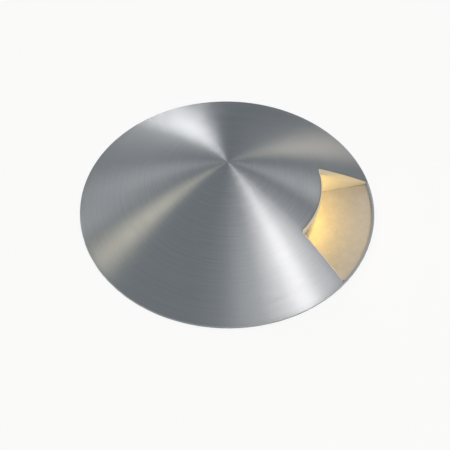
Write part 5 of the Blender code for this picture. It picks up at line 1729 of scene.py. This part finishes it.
@dataclass
class SpringClip:
    """One spring clip with its bracket, pin and torsion spring."""

    number: int
    angle: float
    pivot_radius: float = 46.8 * MM
    pivot_height: float = -50.3 * MM
    plate: float = 1 * MM
    fold: float = 0.4 * MM
    edge: float = 0.15 * MM
    ear_gap: float = 8 * MM
    ear_end: float = 2.2 * MM
    back: float = -3.5 * MM
    bracket_height: float = 6.4 * MM
    pin_radius: float = 1 * MM
    pin_head: float = 0.6 * MM
    barrel_radius: float = 2.2 * MM
    barrel_width: float = 4.4 * MM
    barrel_edge: float = 0.1 * MM
    arm_length: float = 24 * MM
    arm_half: float = 0.6 * MM
    arm_edge: float = 0.18 * MM
    nose_radius: float = 1.3 * MM
    shoulder: float = 4.5 * MM
    lean: float = math.asin(3.1 / 24)
    spring_wire: float = 0.25 * MM
    spring_turns: int = 2
    spring_leg: float = 9 * MM
    coil_steps: int = 36

    def pose(self, piece: Piece, leaning: bool = False, upright: bool = False) -> Piece:
        """Moves a piece from the pivot's own frame to its place.

        Args:
            piece: The piece, with X outwards and Y along the pin.
            leaning: Whether it leans out with the arm.
            upright: Whether it was drawn flat and stands up.

        Returns:
            The same piece.
        """
        place = Matrix.Translation((*polar(self.pivot_radius, self.angle), self.pivot_height))
        place = place @ Matrix.Rotation(self.angle, 4, "Z")
        if leaning:
            place = place @ Matrix.Rotation(self.lean, 4, "Y")
        if upright:
            place = place @ Matrix.Rotation(math.pi / 2, 4, "X")
        piece.data.transform(place)
        return piece

    def bracket(self) -> Piece:
        """Makes the folded bracket with the pin's holes.

        Returns:
            The bracket.
        """
        inner, outer, back, end = self.ear_gap / 2, self.ear_gap / 2 + self.plate, self.back, self.ear_end
        outline = [(back, -outer), *stepped(-outer, end, -inner, back + self.plate, inner, end, outer, back)]
        half = self.bracket_height / 2
        made = slab(f"bracket_{self.number}", [rounded(outline, self.fold)], -half, half, self.edge)
        reach = outer + OVERRUN
        hole = slab("pin_hole", [circle(self.pin_radius + SEAT_GAP, 32)], -reach, reach)
        hole.data.transform(Matrix.Rotation(math.pi / 2, 4, "X"))
        return self.pose(cut(made, hole))

    def pin(self) -> Piece:
        """Turns the pin with its head.

        Returns:
            The pin.
        """
        outer, radius, edge = self.ear_gap / 2 + self.plate, self.pin_radius, self.edge
        end, head = outer + SEAT_GAP, self.pin_radius + self.pin_head
        top = end + self.pin_head
        profile = [(0, top), (head - edge, top), (head, top - edge), (head, end), (radius, end)]
        profile += [(radius, edge - outer), (radius - edge, -outer), (0, -outer)]
        return self.pose(lathe(f"pin_{self.number}", profile, 40, closed=False), upright=True)

    def arm(self) -> Piece:
        """Makes the arm: a rolled barrel, a strip of spring steel and a rounded nose.

        Returns:
            The arm.
        """
        half, edge = self.arm_half, self.ear_gap / 2 - SEAT_GAP
        start = math.asin(half / self.barrel_radius)
        outline = arc(self.barrel_radius, math.pi / 2 + start, 2.5 * math.pi - start, 48)
        outline += [(half, self.arm_length / 2), (-half, self.arm_length / 2)]
        eye = circle(self.pin_radius + SEAT_GAP, 32)
        low = edge - self.barrel_width
        made = slab(f"arm_{self.number}", [outline, eye], low, edge, self.barrel_edge)
        open_by = math.asin(half / self.nose_radius)
        nose = (0, self.arm_length)
        blade = [(half, self.shoulder)]
        blade += arc(self.nose_radius, open_by - math.pi / 2, 1.5 * math.pi - open_by, 28, nose)
        blade.append((-half, self.shoulder))
        cut(made, slab("blade", [blade], -edge, edge, self.arm_edge), operation="UNION")
        return self.pose(made, leaning=True, upright=True)

    def spring(self) -> Piece:
        """Winds the torsion spring round the pin, with a leg along the arm.

        Returns:
            The spring.
        """
        radius, edge = self.spring_wire, self.ear_gap / 2 - SEAT_GAP
        coil = self.pin_radius + 2 * SEAT_GAP + radius
        first, last = edge - radius, self.barrel_width - edge + SEAT_GAP + radius
        count = self.spring_turns * self.coil_steps
        points = []
        for i, along in enumerate(between(first, last, count)):
            turn = 2 * math.pi * i / self.coil_steps
            points.append((-coil * math.cos(turn), along, coil * math.sin(turn)))
        points += [(-coil, last, coil), (-self.arm_half - radius - SEAT_GAP, last, self.spring_leg)]
        return self.pose(wire(f"spring_{self.number}", points, radius), leaning=True)

    def build(self) -> None:
        """Builds and dresses the clip's pieces."""
        number = self.number
        turning = Body.CLIP_1 if number == 1 else Body.CLIP_2
        dress(self.bracket(), ZINC_STEEL, f"clip_bracket_{number}")
        dress(self.pin(), ZINC_STEEL, f"clip_pin_{number}")
        dress(self.arm(), SPRING_STEEL, f"clip_arm_{number}", turning)
        dress(self.spring(), SPRING_STEEL, f"clip_spring_{number}", turning)


@dataclass
class Sleeve:
    """The installation sleeve that is set in the ground, and the grommet in its wall."""

    bottom: float = -93.2 * MM
    floor: float = -90.2 * MM
    top: float = -2.3 * MM
    bore: float = 51.5 * MM
    radius: float = 54 * MM
    edge: float = 0.6 * MM
    collar_radius: float = 57.5 * MM
    collar_height: float = 3 * MM
    ring_tops: tuple[float, float] = (-31.1 * MM, -61.4 * MM)
    ring_height: float = 3 * MM
    ring_width: float = 2 * MM
    webs: int = 12
    web_width: float = 1.2 * MM
    web_height: float = 0.8 * MM
    web_edge: float = 0.2 * MM
    web_foot: float = 1.5 * MM
    drain_circle: float = 36.05 * MM
    drain_radius: float = 3.5 * MM
    entry_height: float = -80.7 * MM
    entry_radius: float = 8 * MM
    entry_reach: tuple[float, float] = (25 * MM, 60 * MM)
    grommet_lip: float = 1.2 * MM
    grommet_space: float = 0.6 * MM  # from the sleeve's wall to the lips
    grommet_thickness: float = 2 * MM
    grommet_bore: float = 4.5 * MM
    sides: int = 216

    def pot(self) -> Piece:
        """Makes the pot with its anchor rings, upright webs, drains and cable entry.

        Returns:
            The pot.
        """
        radius, rim, wide = self.radius, self.radius + self.ring_width, self.collar_radius
        collar = self.top - self.collar_height
        profile = [(0, self.floor), *stepped(self.floor, self.bore, self.top, wide, collar, radius)]
        for top in self.ring_tops:
            low = top - self.ring_height
            profile += [(radius, top), (rim, top - SEAT_GAP), (rim, low + SEAT_GAP), (radius, low)]
        profile += [(radius, self.bottom), (0, self.bottom)]
        made = lathe("sleeve_body", profile, self.sides, closed=False, edge=self.edge)
        angles, width = around(self.webs, math.pi / self.webs), self.web_width
        tip, heights = (radius + self.web_height, width), (self.bottom + self.web_foot, collar + JOIN)
        webs = ribs("webs", angles, (radius - JOIN, width), tip, heights, self.web_edge)
        cut(made, webs, operation="UNION")
        spots = [polar(self.drain_circle, angle) for angle in around(4, math.pi / 4)]
        drill(made, self.drain_radius, spots, self.bottom - OVERRUN, self.floor + OVERRUN, 40)
        entry = slab("entry", [circle(self.entry_radius, 64)], *self.entry_reach)
        return cut(made, self.in_entry(entry))

    def in_entry(self, piece: Piece) -> Piece:
        """Turns a piece from upright to its place in the cable entry.

        Args:
            piece: The piece.

        Returns:
            The same piece.
        """
        turn = Matrix.Rotation(math.pi, 4, "Z") @ Matrix.Rotation(math.pi / 2, 4, "X")
        piece.data.transform(Matrix.Translation((0, 0, self.entry_height)) @ turn)
        return piece

    def grommet(self) -> Piece:
        """Makes the grommet, with its two flanges and open bore.

        Returns:
            The grommet.
        """
        neck, rim = self.entry_radius - SEAT_GAP, self.entry_radius + self.grommet_lip
        inner = math.sqrt(self.bore**2 - rim**2) - self.grommet_space
        outer = self.radius + self.grommet_space
        low, high = inner - self.grommet_thickness, outer + self.grommet_thickness
        section = stepped(high, rim, outer, neck, inner, rim, low, self.grommet_bore, high)
        return self.in_entry(lathe("grommet", section, 72, edge=self.edge))

    def build(self) -> None:
        """Builds and dresses the sleeve's pieces."""
        dress(self.pot(), GREY_POLYPROPYLENE, "sleeve_pot", Body.SLEEVE)
        dress(self.grommet(), BLACK_RUBBER, "sleeve_grommet", Body.SLEEVE)


# The studio


def area_light(
    name: str, colour: str, power: float, place: tuple[float, float, float], aim: Vector, **settings: object
) -> Piece:
    """Makes an area light that the camera doesn't see.

    Args:
        name: Its name.
        colour: The colour of its light.
        power: Its power in watts.
        place: Where it is.
        aim: The direction from what it lights back to the light.
        **settings: Attributes of the light's data, such as its shape and size.

    Returns:
        The light.
    """
    data = bpy.data.lights.new(name, "AREA")
    data.energy = power
    data.color = linear(colour)[:3]
    for setting, value in settings.items():
        setattr(data, setting, value)
    made = bpy.data.objects.new(name, data)
    bpy.context.scene.collection.objects.link(made)
    made.location = place
    made.rotation_mode = "QUATERNION"
    made.rotation_quaternion = aim.to_track_quat("Z", "Y")
    made.visible_camera = False
    return made


@dataclass
class Lamp:
    """A round soft lamp that looks at the light."""

    name: str
    towards: tuple[float, float, float]  # the direction from the light to the lamp
    size: float
    power: float
    colour: str = "#ffffff"
    distance: float = 1.5

    def build(self) -> Piece:
        """Places the lamp.

        Returns:
            The lamp.
        """
        aim = Vector(self.towards).normalized()
        place = Vector((0, 0, PAVING)) + aim * self.distance
        return area_light(self.name, self.colour, self.power, place, aim, shape="DISK", size=self.size)


@dataclass
class FanLamp(Lamp):
    """A lamp that draws one bright fan on the dome and lights nothing else.

    The tool lines of the dome show a lamp as a fan that starts at the centre. Where the
    fan points is set by the lamp's place beside the mirror image of the camera.
    """

    towards: tuple[float, float, float] = (0, 0, 1)
    size: float = 0.35
    power: float = 1.0
    colour: str = "#fff0e8"
    fan: float = 0.0  # degrees from +X at which the fan lies on the dome
    reach: float = 0.5  # how far the lamp stands to that side of the mirror image
    lowest: float = 0.02
    mirrored: float = 0.64  # the camera's level part, seen in the flat top of the dome
    side_share: float = 1.2  # the square's side, as a share of the size

    def __post_init__(self) -> None:
        """Works out the lamp's direction from its fan."""
        across, along = polar(self.reach, math.radians(self.fan))
        along += self.mirrored
        self.towards = (across, along, math.sqrt(max(self.lowest**2, 1 - across**2 - along**2)))

    def build(self) -> Piece:
        """Places the lamp: a square that stands on its corner across the fan, so that both
        sides of the fan fade out softly.

        Returns:
            The lamp.
        """
        made = super().build()
        made.data.shape = "SQUARE"
        made.data.size = self.side_share * self.size
        aim = Vector(self.towards).normalized()
        across = Vector((*polar(1, math.radians(self.fan + 90)), 0))
        across = (across - aim * across.dot(aim)).normalized()
        corner = Matrix.Rotation(math.radians(45), 3, aim) @ across
        made.rotation_quaternion = Matrix((corner, aim.cross(corner), aim)).transposed().to_quaternion()
        return made


@dataclass
class Studio:
    """The camera, the pale paving, the soft lamps and the white surroundings."""

    hole: float = 59.5 * MM
    paving_reach: float = 0.33
    paving_thickness: float = 2 * MM
    paving_colour: str = "#f4f3f0"
    paving_white: float = 0.85  # how much of it is plain white to the eye
    lens: float = 118.4
    sensor: float = 36
    nearest: float = 0.01
    camera_place: tuple[float, float, float] = (-0.0008, -0.3887, 0.5571)
    camera_tilt: float = math.radians(39.34)
    camera_roll: float = math.radians(0.75)
    fill: float = 0.3  # what the white surroundings give to dull surfaces
    beam_colour: str = "#ffdb6b"
    beam_power: float = 0.0082
    beam_size: tuple[float, float] = (18 * MM, 5 * MM)
    beam_angle: float = math.radians(-14)
    beam_radius: float = 26 * MM
    beam_height: float = 14 * MM
    beam_slope: float = -0.7

    def camera(self) -> None:
        """Places the camera at the photograph's viewing angle."""
        data = bpy.data.cameras.new("camera")
        data.lens = self.lens
        data.sensor_width = self.sensor
        data.clip_start = self.nearest
        made = bpy.data.objects.new("camera", data)
        bpy.context.scene.collection.objects.link(made)
        made.location = self.camera_place
        made.rotation_mode = "ZYX"
        made.rotation_euler = (self.camera_tilt, 0, self.camera_roll)
        bpy.context.scene.camera = made

    def seen_rays(self, tree: Tree) -> Socket:
        """Tells the rays that see the background from those that it only lights.

        Args:
            tree: The node tree.

        Returns:
            An output that is 1 for camera, glossy and transmission rays.
        """
        rays = add_node(tree, "ShaderNodeLightPath").outputs
        seen = rays["Is Camera Ray"]
        for kind in ("Is Glossy Ray", "Is Transmission Ray"):
            seen = add_node(tree, "ShaderNodeMath", {0: seen, 1: rays[kind]}, operation="MAXIMUM").outputs[0]
        return seen

    def surroundings(self) -> None:
        """Makes the surroundings white to the eye and soft on dull surfaces."""
        world = bpy.data.worlds.new("white_surroundings")
        world.use_nodes = True
        tree = world.node_tree
        tree.nodes.clear()
        strength = add_node(tree, "ShaderNodeMapRange", {0: self.seen_rays(tree), 3: self.fill, 4: 1})
        white = add_node(tree, "ShaderNodeBackground", {"Color": PURE_WHITE, "Strength": strength.outputs[0]})
        add_node(tree, "ShaderNodeOutputWorld", {"Surface": white.outputs[0]})
        bpy.context.scene.world = world

    def paving(self) -> None:
        """Lays the pale paving round the flange, with the hole that the light hangs in."""
        outlines = [circle(reach, 128) for reach in (self.paving_reach, self.hole)]
        made = slab("paving", outlines, PAVING - self.paving_thickness, PAVING)
        material, tree = new_material("pale_paving")
        add = partial(add_node, tree)
        matt = add("ShaderNodeBsdfDiffuse", {"Color": linear(self.paving_colour)})
        white = add("ShaderNodeEmission", {"Color": PURE_WHITE, "Strength": 1})
        share = add("ShaderNodeMath", {0: self.seen_rays(tree), 1: self.paving_white}, operation="MULTIPLY")
        mixed = {0: share.outputs[0], 1: matt.outputs[0], 2: white.outputs[0]}
        add("ShaderNodeOutputMaterial", {"Surface": add("ShaderNodeMixShader", mixed).outputs[0]})
        made.data.materials.append(material)

    def lamps(self) -> None:
        """Hangs the soft lamps, and the strips that draw the fans on the dome."""
        soft = [
            Lamp("soft_key_lamp", (0.35, -0.3, 0.85), 0.9, 9),
            Lamp("soft_back_lamp", (-0.5, 0.6, 0.6), 0.9, 6),
            Lamp("low_front_lamp", (0.45, -0.85, -0.2), 0.9, 8),
            Lamp("low_right_lamp", (0.95, 0.3, -0.2), 0.9, 6),
            Lamp("low_left_lamp", (-0.9, 0.35, -0.2), 0.9, 5),
        ]
        fans = [
            FanLamp("front_fan_lamp", fan=-54, reach=0.9, power=8.0),
            FanLamp("front_fan_rim_lamp", fan=-57, reach=1.25, power=6.0),
            FanLamp("front_fan_left_lamp", fan=-66, reach=1.1, power=5.4),
            FanLamp("front_fan_end_lamp", fan=-78, reach=1.2, size=0.5, power=3.6),
            FanLamp("front_fan_right_lamp", fan=-43, reach=0.95, size=0.25, power=2.5),
            FanLamp("front_wide_lamp", fan=-90, reach=1.1, size=0.45, power=0.7),
            FanLamp("right_wide_lamp", fan=-32, reach=0.8, size=0.4, power=1.3),
            FanLamp("back_fan_lamp", fan=114, reach=0.52, size=0.24, power=10.3, lowest=0.05),
            FanLamp("back_fan_left_lamp", fan=124, reach=0.6, size=0.28, power=2.4),
            FanLamp("back_fan_end_lamp", fan=143, reach=0.55, size=0.3, power=1.4),
            FanLamp("left_fan_lamp", fan=-150, reach=0.85, size=0.34, power=3.9, colour="#ffeac8"),
            FanLamp("left_back_fan_lamp", fan=178, reach=0.65, power=1.9),
            FanLamp("left_wide_lamp", fan=157, reach=0.65, size=0.45, power=1.6),
            FanLamp("left_low_fan_lamp", fan=-168, reach=0.9, power=1.9),
            FanLamp(
                "right_fan_lamp", fan=33, reach=0.52, size=0.28, power=2.9, colour="#ffe6cc", lowest=0.08
            ),
            FanLamp("right_back_lamp", fan=55, reach=0.6, size=0.5, power=2.5),
            FanLamp("right_front_fan_lamp", fan=-6, reach=0.7, size=0.45, power=3.0, lowest=0.2),
            FanLamp("right_middle_lamp", fan=16, reach=0.6, size=0.5, power=0.9, lowest=0.1),
        ]
        self.link(soft, "EXCLUDE")
        self.link(fans, "INCLUDE")

    def link(self, lamps: list[Lamp], state: str) -> None:
        """Says whether lamps light only the dome, or all but the dome.

        Args:
            lamps: The lamps.
            state: Blender's name for how the dome takes part.
        """
        group = bpy.data.collections.new("dome_" + state.lower())
        group.objects.link(bpy.data.objects["dome"])
        group.collection_objects[0].light_linking.link_state = state
        for lamp in lamps:
            lamp.build().light_linking.receiver_collection = group

    def glow(self) -> None:
        """Puts the LED's warm beam into the hood, where the cone throws it outwards."""
        out = Vector((*polar(1, self.beam_angle), self.beam_slope)).normalized()
        place = (*polar(self.beam_radius, self.beam_angle), PAVING + self.beam_height)
        size, size_y = self.beam_size
        shape = {"shape": "RECTANGLE", "size": size, "size_y": size_y}
        made = area_light("led_beam", self.beam_colour, self.beam_power, place, -out, **shape)
        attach(made, Body.COVER.value)

    def build(self) -> None:
        """Sets up the studio."""
        self.camera()
        self.surroundings()
        self.paving()
        self.lamps()
        self.glow()
        bpy.context.scene.view_settings.view_transform = "Standard"


def main() -> None:
    """Builds the studio and every sub-assembly, from the cover down to the sleeve."""
    logging.basicConfig(level=logging.INFO, format="%(message)s")
    for assembly in (
        Cover(),
        TurningRing(),
        LightHead(),
        Housing(),
        LightEngine(),
        CableGland(),
        SpringClip(1, 0.0),
        SpringClip(2, math.pi),
        Sleeve(),
        Studio(),
    ):
        assembly.build()


if __name__ == "__main__":
    main()
